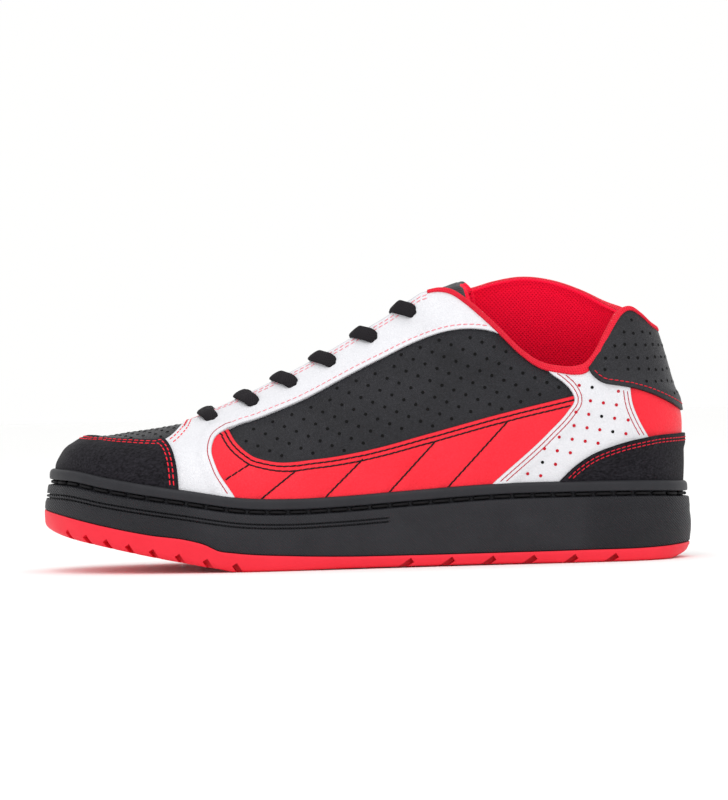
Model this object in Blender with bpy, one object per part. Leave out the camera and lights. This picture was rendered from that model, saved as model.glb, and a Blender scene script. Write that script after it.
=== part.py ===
"""Low-cut flat-pedal cycling shoe for the left foot, as an assembly of separate pieces.

The shoe stands on z = 0. The toe points to -X, the outer (lateral) side faces -Y, and the inner
(medial) side faces +Y. All tables are in millimetres and the meshes are in metres.
"""

import math
from collections import namedtuple

import bmesh
import bpy
import numpy as np

# Driving dimensions, in millimetres
SHOE_LENGTH = 302.0
BALL_WIDTH = 110.0
TOE_SHIFT = 6.0
HEEL_SHIFT = -2.0
UPPER_WALL = 2.2
COLLAR_PADDING = 3.8
FIT_GAP = 0.3
FLOOR_GAP = 0.35
INSOLE_THICKNESS = 4.5
TONGUE_THICKNESS = 6.0
BINDING_HEIGHT = 4.2
BINDING_PROUD = 0.9
EYESTAY_THICKNESS = 1.3
LACE_WIDTH = 6.6
LACE_THICKNESS = 2.0
HALF_STEPS = 28
WALL_ROWS = 8
MM = 0.001

# Sole outline in plan: share of the length from the toe, and side widths as shares of the ball width
OutlineRow = namedtuple("OutlineRow", "along lateral medial")
OUTLINE = [
    OutlineRow(0.017, 0.145, 0.218),
    OutlineRow(0.063, 0.309, 0.355),
    OutlineRow(0.136, 0.427, 0.450),
    OutlineRow(0.235, 0.495, 0.486),
    OutlineRow(0.334, 0.514, 0.464),
    OutlineRow(0.450, 0.482, 0.409),
    OutlineRow(0.583, 0.432, 0.373),
    OutlineRow(0.715, 0.400, 0.364),
    OutlineRow(0.831, 0.382, 0.359),
    OutlineRow(0.914, 0.341, 0.314),
    OutlineRow(0.970, 0.227, 0.191),
]

# How closely the sections stand along each half of the outline, from the toe tip to the heel tip
DensityRow = namedtuple("DensityRow", "share density")
SECTION_DENSITY = [
    DensityRow(0.0, 1.3),
    DensityRow(0.2, 0.9),
    DensityRow(0.55, 0.75),
    DensityRow(0.7, 1.3),
    DensityRow(0.85, 1.6),
    DensityRow(1.0, 1.3),
]

# Sole heights along the shoe: ground side, joint of outsole and midsole, top rim, thickness under the foot
SoleRow = namedtuple("SoleRow", "x ground joint rim bed")
SOLE = [
    SoleRow(-151.0, 20.5, 29.2, 48.0, 12.0),
    SoleRow(-139.0, 16.6, 26.3, 47.3, 12.5),
    SoleRow(-121.0, 12.4, 22.0, 43.8, 13.0),
    SoleRow(-99.0, 7.6, 17.6, 40.0, 13.0),
    SoleRow(-81.0, 4.0, 14.9, 37.2, 13.5),
    SoleRow(-74.0, 2.6, 12.9, 36.0, 13.5),
    SoleRow(-68.0, 1.6, 10.0, 35.0, 13.5),
    SoleRow(-61.0, 0.0, 8.9, 34.0, 13.5),
    SoleRow(-34.0, 0.0, 6.9, 32.6, 14.2),
    SoleRow(-14.0, 0.35, 6.1, 33.1, 15.0),
    SoleRow(20.0, 0.4, 5.7, 35.0, 16.5),
    SoleRow(60.0, 0.35, 5.7, 37.0, 18.0),
    SoleRow(95.0, 0.0, 5.9, 37.2, 18.5),
    SoleRow(138.0, 0.0, 6.5, 36.4, 18.5),
    SoleRow(151.0, 3.4, 7.4, 35.6, 18.5),
]

# Bands of the cup sole's side, from the rim down: depth below the rim and inset from the outline.
# The forefoot line is cut only in front of LINE_END.
BandRow = namedtuple("BandRow", "name below inset")
BANDS = [
    BandRow("rim", 0.0, 3.4),
    BandRow("lip_round", 0.7, 2.2),
    BandRow("lip_side", 2.6, 1.6),
    BandRow("lip_foot", 4.9, 1.6),
    BandRow("stitch_groove_top", 5.1, 2.9),
    BandRow("stitch_groove_foot", 7.0, 2.9),
    BandRow("rib_top", 7.3, 0.9),
    BandRow("rib_foot", 11.4, 0.7),
]
LINE_BELOW = (11.6, 13.5)
LINE_INSET = 1.5
LINE_FOOT = BandRow("wall_top", 13.8, 0.2)
LINE_END = 10.0
LINE_FADE = 14.0

# Sections of the last. Each runs in an upright plane from the rim of the sole at outline_x to the point
# edge_x, edge_y, edge_z on the throat or above the collar, with one handle at each end:
# rise and lean start the side wall, reach and drop bring it over to the edge.
Section = namedtuple("Section", "outline_x inset edge_x edge_y edge_z rise lean reach drop")
TOE = Section(-151.0, 6.6, -80.0, 2.5, 68.6, 15.8, 0.2, 47.0, 8.6)
HEEL = Section(151.0, 5.2, 128.6, -1.0, 124.0, 28.0, -2.4, 13.6, 34.0)
LATERAL = [
    Section(-132.0, 6.4, -79.0, -4.5, 69.0, 15.3, 0.5, 38.0, 8.6),
    Section(-110.0, 6.0, -76.0, -8.5, 70.4, 15.5, 0.8, 27.0, 8.5),
    Section(-80.0, 5.6, -68.0, -11.5, 73.8, 17.0, 1.2, 21.0, 9.5),
    Section(-50.0, 5.4, -50.0, -13.0, 81.8, 20.0, 2.0, 19.0, 13.0),
    Section(-15.0, 5.2, -16.0, -14.5, 98.7, 26.0, 3.0, 15.5, 17.0),
    Section(22.0, 5.2, 22.0, -16.5, 121.4, 34.0, 2.8, 10.0, 26.0),
    Section(33.0, 5.2, 32.5, -17.2, 128.0, 35.0, 2.0, 9.2, 29.0),
    Section(45.0, 5.2, 43.0, -18.0, 131.5, 36.0, 1.2, 8.5, 32.0),
    Section(70.0, 5.2, 67.0, -20.0, 133.0, 36.0, 0.0, 9.0, 35.0),
    Section(100.0, 5.4, 94.0, -21.0, 132.0, 34.0, -1.2, 11.0, 37.0),
    Section(125.0, 5.6, 115.0, -18.5, 129.0, 30.0, -1.6, 13.5, 36.0),
    Section(142.0, 5.6, 126.0, -10.5, 126.0, 28.0, -1.6, 15.0, 35.0),
]
MEDIAL = [
    Section(-132.0, 6.4, -79.0, 9.0, 69.0, 15.3, 0.5, 38.0, 8.6),
    Section(-110.0, 6.0, -76.0, 12.5, 70.4, 15.5, 0.8, 27.0, 8.5),
    Section(-80.0, 5.6, -68.0, 15.0, 73.8, 17.0, 1.2, 21.0, 9.5),
    Section(-50.0, 5.4, -50.0, 16.0, 81.8, 20.0, 1.6, 18.0, 13.0),
    Section(-15.0, 5.2, -16.0, 17.0, 98.7, 27.0, 1.6, 14.0, 17.0),
    Section(22.0, 5.2, 22.0, 18.0, 121.4, 36.0, 0.8, 10.0, 26.0),
    Section(33.0, 5.2, 32.5, 18.5, 128.5, 38.0, 0.6, 9.8, 29.5),
    Section(45.0, 5.2, 43.0, 19.0, 134.0, 40.0, 0.4, 9.5, 33.0),
    Section(70.0, 5.2, 67.0, 20.0, 139.0, 40.0, 0.0, 10.0, 36.0),
    Section(100.0, 5.4, 94.0, 20.0, 137.0, 37.0, -1.0, 11.5, 38.0),
    Section(125.0, 5.6, 115.0, 17.0, 131.0, 31.0, -1.4, 13.5, 36.0),
    Section(142.0, 5.6, 126.0, 9.0, 126.5, 28.0, -1.6, 15.0, 35.0),
]

# Collar line seen from the side, top of the binding
CollarRow = namedtuple("CollarRow", "x z")
COLLAR_FRONT = 24.0
COLLAR_LATERAL = [
    CollarRow(24.0, 124.4),
    CollarRow(30.0, 126.6),
    CollarRow(36.0, 127.8),
    CollarRow(41.0, 127.0),
    CollarRow(47.0, 122.6),
    CollarRow(62.0, 107.0),
    CollarRow(71.0, 97.6),
    CollarRow(80.0, 90.9),
    CollarRow(89.0, 87.4),
    CollarRow(96.0, 87.1),
    CollarRow(102.0, 90.2),
    CollarRow(106.0, 96.6),
    CollarRow(110.0, 104.4),
    CollarRow(114.0, 110.8),
    CollarRow(118.0, 115.6),
    CollarRow(122.0, 117.0),
    CollarRow(127.0, 114.0),
    CollarRow(132.0, 109.4),
    CollarRow(137.0, 106.8),
]
COLLAR_MEDIAL = [
    CollarRow(24.0, 124.4),
    CollarRow(30.0, 126.4),
    CollarRow(38.0, 127.0),
    CollarRow(50.0, 128.4),
    CollarRow(62.0, 131.6),
    CollarRow(75.0, 133.4),
    CollarRow(90.0, 131.4),
    CollarRow(104.0, 126.4),
    CollarRow(116.0, 120.2),
    CollarRow(122.0, 117.4),
    CollarRow(127.0, 114.4),
    CollarRow(132.0, 109.4),
    CollarRow(137.0, 106.8),
]

# Panel outlines seen from the side. "round" points join in a smooth curve, "corner" points don't.
OutlinePoint = namedtuple("OutlinePoint", "x z kind")
FAR_FRONT = -170.0
FAR_BACK = 170.0
UNDER_RIM = 20.0
OVER_ALL = 150.0
PANELS = {
    "toe_cap": [
        OutlinePoint(FAR_FRONT, OVER_ALL, "corner"),
        OutlinePoint(-93.0, OVER_ALL, "corner"),
        OutlinePoint(-93.0, 61.6, "corner"),
        OutlinePoint(-89.6, 57.5, "round"),
        OutlinePoint(-87.2, 50.0, "round"),
        OutlinePoint(-84.8, 38.5, "corner"),
        OutlinePoint(-81.5, UNDER_RIM, "corner"),
        OutlinePoint(FAR_FRONT, UNDER_RIM, "corner"),
    ],
    "eyestay": [
        OutlinePoint(-94.5, UNDER_RIM, "corner"),
        OutlinePoint(-94.5, 60.2, "corner"),
        OutlinePoint(-89.2, 63.2, "round"),
        OutlinePoint(-86.2, 66.6, "round"),
        OutlinePoint(-84.6, 72.0, "corner"),
        OutlinePoint(-84.6, OVER_ALL, "corner"),
        OutlinePoint(70.0, OVER_ALL, "corner"),
        OutlinePoint(68.0, 102.0, "corner"),
        OutlinePoint(60.0, 106.0, "round"),
        OutlinePoint(50.5, 107.8, "round"),
        OutlinePoint(39.0, 107.1, "round"),
        OutlinePoint(29.8, 104.8, "round"),
        OutlinePoint(6.7, 94.4, "round"),
        OutlinePoint(-11.7, 85.3, "round"),
        OutlinePoint(-30.1, 76.2, "round"),
        OutlinePoint(-48.5, 69.3, "round"),
        OutlinePoint(-62.7, 63.8, "round"),
        OutlinePoint(-69.0, 59.6, "round"),
        OutlinePoint(-70.4, 55.0, "round"),
        OutlinePoint(-68.4, 47.5, "round"),
        OutlinePoint(-60.0, 34.0, "corner"),
        OutlinePoint(-52.0, UNDER_RIM, "corner"),
    ],
    "side_panel": [
        OutlinePoint(-78.0, UNDER_RIM, "corner"),
        OutlinePoint(-78.0, 66.0, "corner"),
        OutlinePoint(-64.0, 66.0, "corner"),
        OutlinePoint(-58.6, 57.3, "round"),
        OutlinePoint(-52.0, 52.0, "round"),
        OutlinePoint(-43.0, 49.5, "round"),
        OutlinePoint(-21.5, 50.1, "round"),
        OutlinePoint(1.2, 53.6, "round"),
        OutlinePoint(28.5, 60.2, "round"),
        OutlinePoint(60.5, 68.3, "round"),
        OutlinePoint(98.0, 76.6, "corner"),
        OutlinePoint(98.0, UNDER_RIM, "corner"),
    ],
    "saddle": [
        OutlinePoint(37.0, UNDER_RIM, "corner"),
        OutlinePoint(58.3, 38.2, "corner"),
        OutlinePoint(83.0, 59.3, "round"),
        OutlinePoint(92.4, 69.1, "round"),
        OutlinePoint(95.4, 73.8, "round"),
        OutlinePoint(94.1, 78.2, "round"),
        OutlinePoint(90.2, 82.4, "round"),
        OutlinePoint(80.0, 90.5, "corner"),
        OutlinePoint(104.0, 93.5, "corner"),
        OutlinePoint(120.6, 84.0, "corner"),
        OutlinePoint(122.0, 71.1, "round"),
        OutlinePoint(124.5, 64.2, "round"),
        OutlinePoint(129.5, 54.5, "corner"),
        OutlinePoint(129.5, UNDER_RIM, "corner"),
    ],
    "heel_panel": [
        OutlinePoint(112.0, 92.0, "corner"),
        OutlinePoint(FAR_BACK, 92.0, "corner"),
        OutlinePoint(FAR_BACK, 46.0, "corner"),
        OutlinePoint(112.0, 46.0, "corner"),
    ],
    "heel_counter": [
        OutlinePoint(72.0, UNDER_RIM, "corner"),
        OutlinePoint(87.5, 37.4, "corner"),
        OutlinePoint(94.0, 43.4, "round"),
        OutlinePoint(101.5, 48.4, "round"),
        OutlinePoint(113.0, 52.8, "round"),
        OutlinePoint(129.2, 56.5, "round"),
        OutlinePoint(149.0, 58.0, "corner"),
        OutlinePoint(FAR_BACK, 58.4, "corner"),
        OutlinePoint(FAR_BACK, UNDER_RIM, "corner"),
    ],
    "heel_tab": [
        OutlinePoint(102.6, OVER_ALL, "corner"),
        OutlinePoint(101.4, 90.0, "corner"),
        OutlinePoint(103.8, 85.4, "round"),
        OutlinePoint(108.5, 81.6, "round"),
        OutlinePoint(116.0, 79.9, "round"),
        OutlinePoint(125.3, 78.3, "round"),
        OutlinePoint(137.0, 74.0, "round"),
        OutlinePoint(149.0, 66.4, "corner"),
        OutlinePoint(FAR_BACK, 58.6, "corner"),
        OutlinePoint(FAR_BACK, OVER_ALL, "corner"),
    ],
}

# The vamp's window in the toe cap, seen from above: a rounded front, then half widths further back
VAMP_FRONT = -131.0
VAMP_CENTRE_Y = 3.0
VAMP_FLOOR = 46.0
WindowRow = namedtuple("WindowRow", "x half_width")
VAMP_SIDES = [
    WindowRow(-122.6, 22.0),
    WindowRow(-115.0, 29.0),
    WindowRow(-108.0, 33.3),
    WindowRow(-98.8, 36.8),
    WindowRow(-94.0, 39.0),
    WindowRow(-90.5, 43.0),
    WindowRow(-84.0, 52.0),
]

# Thickness of each overlay and the panels that lie over it and cut it back
OverlayRow = namedtuple("OverlayRow", "name panel thickness over sides")
OVERLAYS = [
    OverlayRow("toe_cap", "toe_cap", 1.5, (), "both"),
    OverlayRow("eyestay", "eyestay", EYESTAY_THICKNESS, ("toe_cap",), "both"),
    OverlayRow("side_panel_lateral", "side_panel", 0.9, ("eyestay", "saddle"), "lateral"),
    OverlayRow("side_panel_medial", "side_panel", 0.9, ("eyestay", "saddle"), "medial"),
    OverlayRow("saddle_lateral", "saddle", 1.3, ("heel_tab", "heel_counter"), "lateral"),
    OverlayRow("saddle_medial", "saddle", 1.3, ("heel_tab", "heel_counter"), "medial"),
    OverlayRow("heel_panel", "heel_panel", 0.9, ("saddle", "heel_tab", "heel_counter"), "both"),
    OverlayRow("heel_counter", "heel_counter", 1.6, (), "both"),
    OverlayRow("heel_tab", "heel_tab", 1.2, (), "both"),
]

# Lace bars: where each bar turns over the throat edge, and how far its ends run down the eyestay
LACE_EDGE_X = (-75.0, -57.0, -39.0, -21.5, -2.0, 17.5)
LACE_END_RUN = 8.5
LACE_END_BACK = 5.0

# The tongue's free end behind the last eyelets: shift back and up, and shares of the width and depth
TongueRow = namedtuple("TongueRow", "back rise width depth")
TONGUE_END = [
    TongueRow(8.0, 6.0, 0.87, 0.95),
    TongueRow(17.0, 11.0, 0.72, 0.8),
    TongueRow(24.0, 13.4, 0.62, 0.6),
    TongueRow(28.0, 13.4, 0.54, 0.45),
]

# Notches in the tread's edge, on both sides: first position, spacing and its growth, count, size and lean
NotchRow = namedtuple("NotchRow", "first_x spacing growth count width depth lean_deg")
NOTCHES = [
    NotchRow(-137.5, 8.4, 0.375, 8, 2.2, 2.5, 32.0),
    NotchRow(16.1, 18.7, 0.0, 6, 4.4, 2.7, -38.0),
]
NOTCH_REACH = 11.0
CHANNEL_Y = -2.0
CHANNEL_WIDTH = 3.0
CHANNEL_DEPTH = 2.2
CHANNELS_X = ((-112.0, -46.0), (16.0, 128.0))

Finish = namedtuple("Finish", "colour roughness")
FINISHES = {
    "red_rubber": Finish((0.78, 0.03, 0.04), 0.55),
    "black_rubber": Finish((0.035, 0.035, 0.038), 0.6),
    "footbed": Finish((0.05, 0.05, 0.055), 0.9),
    "black_leather": Finish((0.03, 0.03, 0.032), 0.6),
    "black_suede": Finish((0.02, 0.02, 0.022), 0.9),
    "white_leather": Finish((0.85, 0.85, 0.86), 0.45),
    "red_leather": Finish((0.8, 0.03, 0.045), 0.45),
    "red_webbing": Finish((0.75, 0.02, 0.035), 0.8),
    "tongue_cloth": Finish((0.06, 0.06, 0.065), 0.8),
    "lace_cord": Finish((0.02, 0.02, 0.022), 0.85),
}
OVERLAY_FINISH = {
    "toe_cap": "black_suede",
    "eyestay": "white_leather",
    "side_panel_lateral": "red_leather",
    "side_panel_medial": "red_leather",
    "saddle_lateral": "white_leather",
    "saddle_medial": "white_leather",
    "heel_panel": "red_leather",
    "heel_counter": "black_suede",
    "heel_tab": "black_leather",
}

HALF_LENGTH = SHOE_LENGTH / 2
LOOP = 2 * HALF_STEPS


def smooth_step(value):
    """0 below 0, 1 above 1, and a soft S between."""
    t = np.clip(value, 0.0, 1.0)
    return t * t * (3 - 2 * t)


def hermite(keys, values, at, period=None):
    """A smooth curve through values at rising keys. With a period it closes on itself."""
    keys = np.asarray(keys, float)
    values = np.asarray(values, float)
    at = np.asarray(at, float)
    if period:
        at = keys[0] + np.mod(at - keys[0], period)
        keys = np.concatenate([[keys[-1] - period], keys, keys[:2] + period])
        values = np.concatenate([values[-1:], values, values[:2]])
    steps = np.diff(keys)
    chords = np.diff(values) / steps
    slopes = np.empty(len(keys))
    slopes[1:-1] = (chords[:-1] * steps[1:] + chords[1:] * steps[:-1]) / (steps[1:] + steps[:-1])
    slopes[0] = chords[0]
    slopes[-1] = chords[-1]
    i = np.clip(np.searchsorted(keys, at, side="right") - 1, 0, len(steps) - 1)
    t = np.clip((at - keys[i]) / steps[i], 0.0, 1.0)
    h = steps[i]
    start = (1 + 2 * t) * (1 - t) ** 2 * values[i] + t * (1 - t) ** 2 * h * slopes[i]
    end = t * t * (3 - 2 * t) * values[i + 1] + t * t * (t - 1) * h * slopes[i + 1]
    return start + end


def sole_height(column, x):
    """A height of the sole, such as its rim, at the places x along the shoe. None is below the floor."""
    height = hermite([row.x for row in SOLE], [getattr(row, column) for row in SOLE], x)
    return np.maximum(height, 0.0)


def bed_height(x):
    """The floor of the cup sole, on which the insole lies."""
    return sole_height("ground", x) + sole_height("bed", x)


def outline_loop():
    """The sole's outline as a fine closed line of points, from the toe tip along the lateral side."""
    def at(row, side):
        return (row.along * SHOE_LENGTH - HALF_LENGTH, side * BALL_WIDTH)

    knots = [(-HALF_LENGTH, TOE_SHIFT)]
    knots += [at(row, -row.lateral) for row in OUTLINE]
    knots += [(HALF_LENGTH, HEEL_SHIFT)]
    knots += [at(row, row.medial) for row in reversed(OUTLINE)]
    knots = np.array(knots)
    steps = np.linalg.norm(np.roll(knots, -1, axis=0) - knots, axis=1) ** 0.75
    keys = np.concatenate([[0.0], np.cumsum(steps)])
    fine = np.linspace(0.0, keys[-1], 1200, endpoint=False)
    x = hermite(keys[:-1], knots[:, 0], fine, period=keys[-1])
    y = hermite(keys[:-1], knots[:, 1], fine, period=keys[-1])
    loop = np.stack([x, y], axis=1)
    centre = (loop.max(axis=0) + loop.min(axis=0)) / 2
    return loop - centre, centre


def sampled_outline():
    """(LOOP, 2) points of the outline, where point i and point LOOP - i face each other."""
    fine, centre = outline_loop()
    toe = int(np.argmin(fine[:, 0]))
    fine = np.roll(fine, -toe, axis=0)
    heel = int(np.argmax(fine[:, 0]))
    halves = [fine[: heel + 1], np.vstack([fine[heel:], fine[:1]])[::-1]]
    fine_share = np.linspace(0.0, 1.0, 401)
    density = np.interp(fine_share, [row.share for row in SECTION_DENSITY],
                        [row.density for row in SECTION_DENSITY])
    reached = np.concatenate([[0.0], np.cumsum((density[1:] + density[:-1]) / 2)])
    share = np.interp(np.linspace(0.0, reached[-1], HALF_STEPS + 1), reached, fine_share)
    sampled = []
    for half in halves:
        run = np.concatenate([[0.0], np.cumsum(np.linalg.norm(np.diff(half, axis=0), axis=1))])
        sampled.append(np.stack([np.interp(share * run[-1], run, half[:, k]) for k in (0, 1)], axis=1))
    loop = np.vstack([sampled[0], sampled[1][-2:0:-1]])
    return loop, centre


def outward_of(loop):
    """Unit vectors in plan that point out of a closed loop which runs toe, lateral, heel, medial."""
    along = np.roll(loop, -1, axis=0) - np.roll(loop, 1, axis=0)
    out = np.stack([along[:, 1], -along[:, 0]], axis=1)
    out /= np.linalg.norm(out, axis=1)[:, None]
    middle = loop.mean(axis=0)
    return out if ((loop - middle) * out).sum() > 0 else -out


OUTLINE_LOOP, PLAN_CENTRE = sampled_outline()
OUTWARD = outward_of(OUTLINE_LOOP)


def inset_loop(inset):
    """The outline moved inwards, as plan points."""
    return OUTLINE_LOOP - OUTWARD * np.reshape(inset, (-1, 1))


def loop_keys():
    """How far round the loop each point is: 0 at the toe, 1 at the heel, 2 back at the toe."""
    step = np.linalg.norm(np.roll(OUTLINE_LOOP, -1, axis=0) - OUTLINE_LOOP, axis=1)
    run = np.concatenate([[0.0], np.cumsum(step)])
    lateral = run[HALF_STEPS]
    medial = run[-1] - lateral
    run = run[:-1]
    return np.where(run <= lateral, run / lateral, 1 + (run - lateral) / medial)


AROUND = loop_keys()


def section_table():
    """Keys round the loop and one row of numbers for each section, toe, lateral, heel, medial."""
    x = OUTLINE_LOOP[:, 0] + PLAN_CENTRE[0]
    lateral_x = x[: HALF_STEPS + 1]
    medial_x = np.append(x[HALF_STEPS:], x[0])
    medial_keys = np.append(AROUND[HALF_STEPS:], 2.0)
    keys = [0.0]
    keys += [float(np.interp(row.outline_x, lateral_x, AROUND[: HALF_STEPS + 1])) for row in LATERAL]
    keys += [1.0]
    keys += [float(np.interp(-row.outline_x, -medial_x, medial_keys)) for row in reversed(MEDIAL)]
    rows = [TOE, *LATERAL, HEEL, *reversed(MEDIAL)]
    return np.array(keys), rows


SECTION_KEYS, SECTION_ROWS = section_table()


def section_value(column):
    """One column of the section table at every point of the loop."""
    return hermite(SECTION_KEYS, [getattr(row, column) for row in SECTION_ROWS], AROUND, period=2.0)


class Last:
    """The outer surface of the upper: one upright curve for each point of the loop."""

    def __init__(self):
        rim_plan = inset_loop(section_value("inset"))
        rim_z = sole_height("rim", rim_plan[:, 0])
        self.rim = np.column_stack([rim_plan, rim_z])
        edge_plan = np.stack([section_value("edge_x"), section_value("edge_y")], axis=1) - PLAN_CENTRE
        self.edge = np.column_stack([edge_plan, section_value("edge_z")])
        out = rim_plan - edge_plan
        out /= np.linalg.norm(out, axis=1)[:, None]
        self.out = np.column_stack([out, np.zeros(LOOP)])
        up = np.array([0.0, 0.0, 1.0])
        lean = self.out * section_value("lean")[:, None]
        reach = self.out * section_value("reach")[:, None]
        self.low = self.rim + np.outer(section_value("rise"), up) - lean
        self.high = self.edge + reach - np.outer(section_value("drop"), up)
        self.foot = self.rim - self.out
        self.foot[:, 2] = bed_height(self.foot[:, 0]) + FLOOR_GAP
        self.is_medial = np.arange(LOOP) > HALF_STEPS

    def at(self, up):
        """Points of the surface: up is 0 at the rim and 1 at the edge, one value for each loop point."""
        t = np.broadcast_to(np.asarray(up, float), (LOOP,))[:, None]
        s = 1 - t
        return s**3 * self.rim + 3 * s * s * t * self.low + 3 * s * t * t * self.high + t**3 * self.edge

    def normal(self, up):
        """Outward unit normals at the same points."""
        step = 0.01
        up = np.broadcast_to(np.asarray(up, float), (LOOP,))
        rise = self.at(up + step) - self.at(up - step)
        here = self.at(up)
        along = np.roll(here, -1, axis=0) - np.roll(here, 1, axis=0)
        across = np.cross(along, rise)
        across /= np.linalg.norm(across, axis=1)[:, None]
        facing = np.sign((across * (self.out + np.array([0, 0, 0.3]))).sum(axis=1))
        return across * facing[:, None]

    def offset(self, up, distance):
        """Points at a distance outside the surface (negative is inside)."""
        return self.at(up) + self.normal(up) * np.reshape(distance, (-1, 1))

    def padding(self, up):
        """Wall thickness: thin over the foot, padded round the collar."""
        x = self.at(up)[:, 0] + PLAN_CENTRE[0]
        back = smooth_step((x - 18.0) / 30.0)
        high = smooth_step((np.broadcast_to(up, (LOOP,)) - 0.2) / 0.3)
        return UPPER_WALL + COLLAR_PADDING * back * high

    def trimmed(self, lower):
        """The highest value of up that stays under the collar line lowered by the binding's share."""
        found = np.ones(LOOP)
        tries = np.linspace(0.2, 1.0, 401)
        surface = np.stack([self.at(t) for t in tries])
        for i in range(LOOP):
            rows = COLLAR_MEDIAL if self.is_medial[i] else COLLAR_LATERAL
            x = surface[:, i, 0] + PLAN_CENTRE[0]
            line = hermite([row.x for row in rows], [row.z for row in rows], x)
            line = line - lower * smooth_step((x - COLLAR_FRONT) / 8.0)
            under = (surface[:, i, 2] <= line) | (x < COLLAR_FRONT)
            found[i] = tries[np.argmin(under) - 1] if not under.all() else 1.0
        return found


def new_material(name):
    finish = FINISHES[name]
    material = bpy.data.materials.get(name) or bpy.data.materials.new(name)
    material.use_nodes = True
    shader = material.node_tree.nodes["Principled BSDF"]
    shader.inputs["Base Color"].default_value = (*finish.colour, 1.0)
    shader.inputs["Roughness"].default_value = finish.roughness
    material.diffuse_color = (*finish.colour, 1.0)
    return material


def add_solid(name, points, faces, finish=None):
    """A mesh object from points in millimetres. Its normals are made to point outwards."""
    mesh = bpy.data.meshes.new(name)
    mesh.from_pydata([tuple(p) for p in np.asarray(points) * MM], [], [tuple(f) for f in faces])
    shape = bmesh.new()
    shape.from_mesh(mesh)
    bmesh.ops.recalc_face_normals(shape, faces=shape.faces)
    shape.to_mesh(mesh)
    shape.free()
    mesh.shade_smooth()
    mesh.set_sharp_from_angle(angle=math.radians(35))
    solid = bpy.data.objects.new(name, mesh)
    bpy.context.scene.collection.objects.link(solid)
    if finish:
        mesh.materials.append(new_material(finish))
    return solid


def ladder(start):
    """Faces that close a loop by joining each point to the one that faces it."""
    def index(i):
        return start + i % LOOP

    faces = [(index(0), index(1), index(-1))]
    for i in range(1, HALF_STEPS - 1):
        faces.append((index(i), index(i + 1), index(-i - 1), index(-i)))
    faces.append((index(HALF_STEPS - 1), index(HALF_STEPS), index(-HALF_STEPS + 1)))
    return faces


def loft(name, loops, finish, turn_back=None, closed_section=False):
    """A solid through loops of LOOP points, capped at both ends or joined back on itself.

    From loop turn_back on the skin runs back down, and its triangles lean the other way, so that
    the two faces of a wall stay parallel.
    """
    points = np.vstack(loops)
    pairs = [(k, k + 1) for k in range(len(loops) - 1)]
    if closed_section:
        pairs.append((len(loops) - 1, 0))
    faces = []
    for low, high in pairs:
        for i in range(LOOP):
            j = (i + 1) % LOOP
            a, b, c, d = (low * LOOP + i, low * LOOP + j, high * LOOP + j, high * LOOP + i)
            if turn_back is not None and low >= turn_back:
                faces += [(a, b, d), (b, c, d)]
            else:
                faces += [(a, b, c), (a, c, d)]
    if not closed_section:
        faces += ladder(0)
        faces += ladder((len(loops) - 1) * LOOP)
    return add_solid(name, points, faces, finish)


def strip(name, rings, finish):
    """A solid swept through open rows of section rings, with its two ends capped."""
    count = len(rings[0])
    faces = []
    for k in range(len(rings) - 1):
        for i in range(count):
            j = (i + 1) % count
            faces.append((k * count + j, (k + 1) * count + j, (k + 1) * count + i))
            faces.append((k * count + j, (k + 1) * count + i, k * count + i))
    last = (len(rings) - 1) * count
    faces.append(tuple(range(count)))
    faces.append(tuple(range(last, last + count)))
    return add_solid(name, np.vstack(rings), faces, finish)


def helper(cutter):
    """Marks an object as a cutter, which is not part of the shoe."""
    cutter.hide_render = True
    cutter.display_type = "WIRE"
    return cutter


def cut(solid, cutter, operation):
    modifier = solid.modifiers.new(cutter.name, "BOOLEAN")
    modifier.operation = operation
    modifier.object = cutter
    modifier.solver = "EXACT"


def outline_points(rows, spacing=6.5):
    """A panel's outline with its round stretches filled in."""
    corners = [i for i, row in enumerate(rows) if row.kind == "corner"]
    rows = rows[corners[0]:] + rows[: corners[0]]
    line = []
    start = 0
    for i in range(1, len(rows) + 1):
        if rows[i % len(rows)].kind != "corner":
            continue
        run = np.array([(r.x, r.z) for r in [*rows, rows[0]][start: i + 1]])
        keys = np.concatenate([[0.0], np.cumsum(np.linalg.norm(np.diff(run, axis=0), axis=1))])
        steps = max(1, int(keys[-1] / spacing)) if len(run) > 2 else 1
        at = np.linspace(0.0, keys[-1], steps + 1)[:-1]
        line.append(np.stack([hermite(keys, run[:, k], at) for k in (0, 1)], axis=1))
        start = i
    return np.vstack(line)


def grown(line, distance):
    """An outline moved outwards by a distance."""
    nxt = np.roll(line, -1, axis=0) - line
    nxt /= np.linalg.norm(nxt, axis=1)[:, None]
    prv = np.roll(nxt, 1, axis=0)
    area = (line[:, 0] * np.roll(line[:, 1], -1) - np.roll(line[:, 0], -1) * line[:, 1]).sum()
    turn = 1.0 if area > 0 else -1.0
    out = turn * np.stack([nxt[:, 1] + prv[:, 1], -nxt[:, 0] - prv[:, 0]], axis=1)
    length = np.maximum(np.linalg.norm(out, axis=1), 0.5)[:, None]
    return line + out / length * distance


SIDE_SPAN = {
    "lateral": (-90.0, -1.0),
    "medial": (1.0, 90.0),
    "both": (-90.0, 90.0),
    "beyond": (-95.0, 95.0),
}


def side_prism(name, panel, grow, sides):
    """A panel's outline pushed through the shoe from side to side."""
    line = outline_points(PANELS[panel])
    if grow:
        line = grown(line, grow)
    line = line - np.array([PLAN_CENTRE[0], 0.0])
    low, high = SIDE_SPAN[sides]
    count = len(line)
    near = np.column_stack([line[:, 0], np.full(count, low), line[:, 1]])
    far = np.column_stack([line[:, 0], np.full(count, high), line[:, 1]])
    faces = [tuple(range(count)), tuple(range(count, 2 * count))]
    for i in range(count):
        j = (i + 1) % count
        faces.append((i, j, count + j, count + i))
    return helper(add_solid(name, np.vstack([near, far]), faces))


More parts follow.
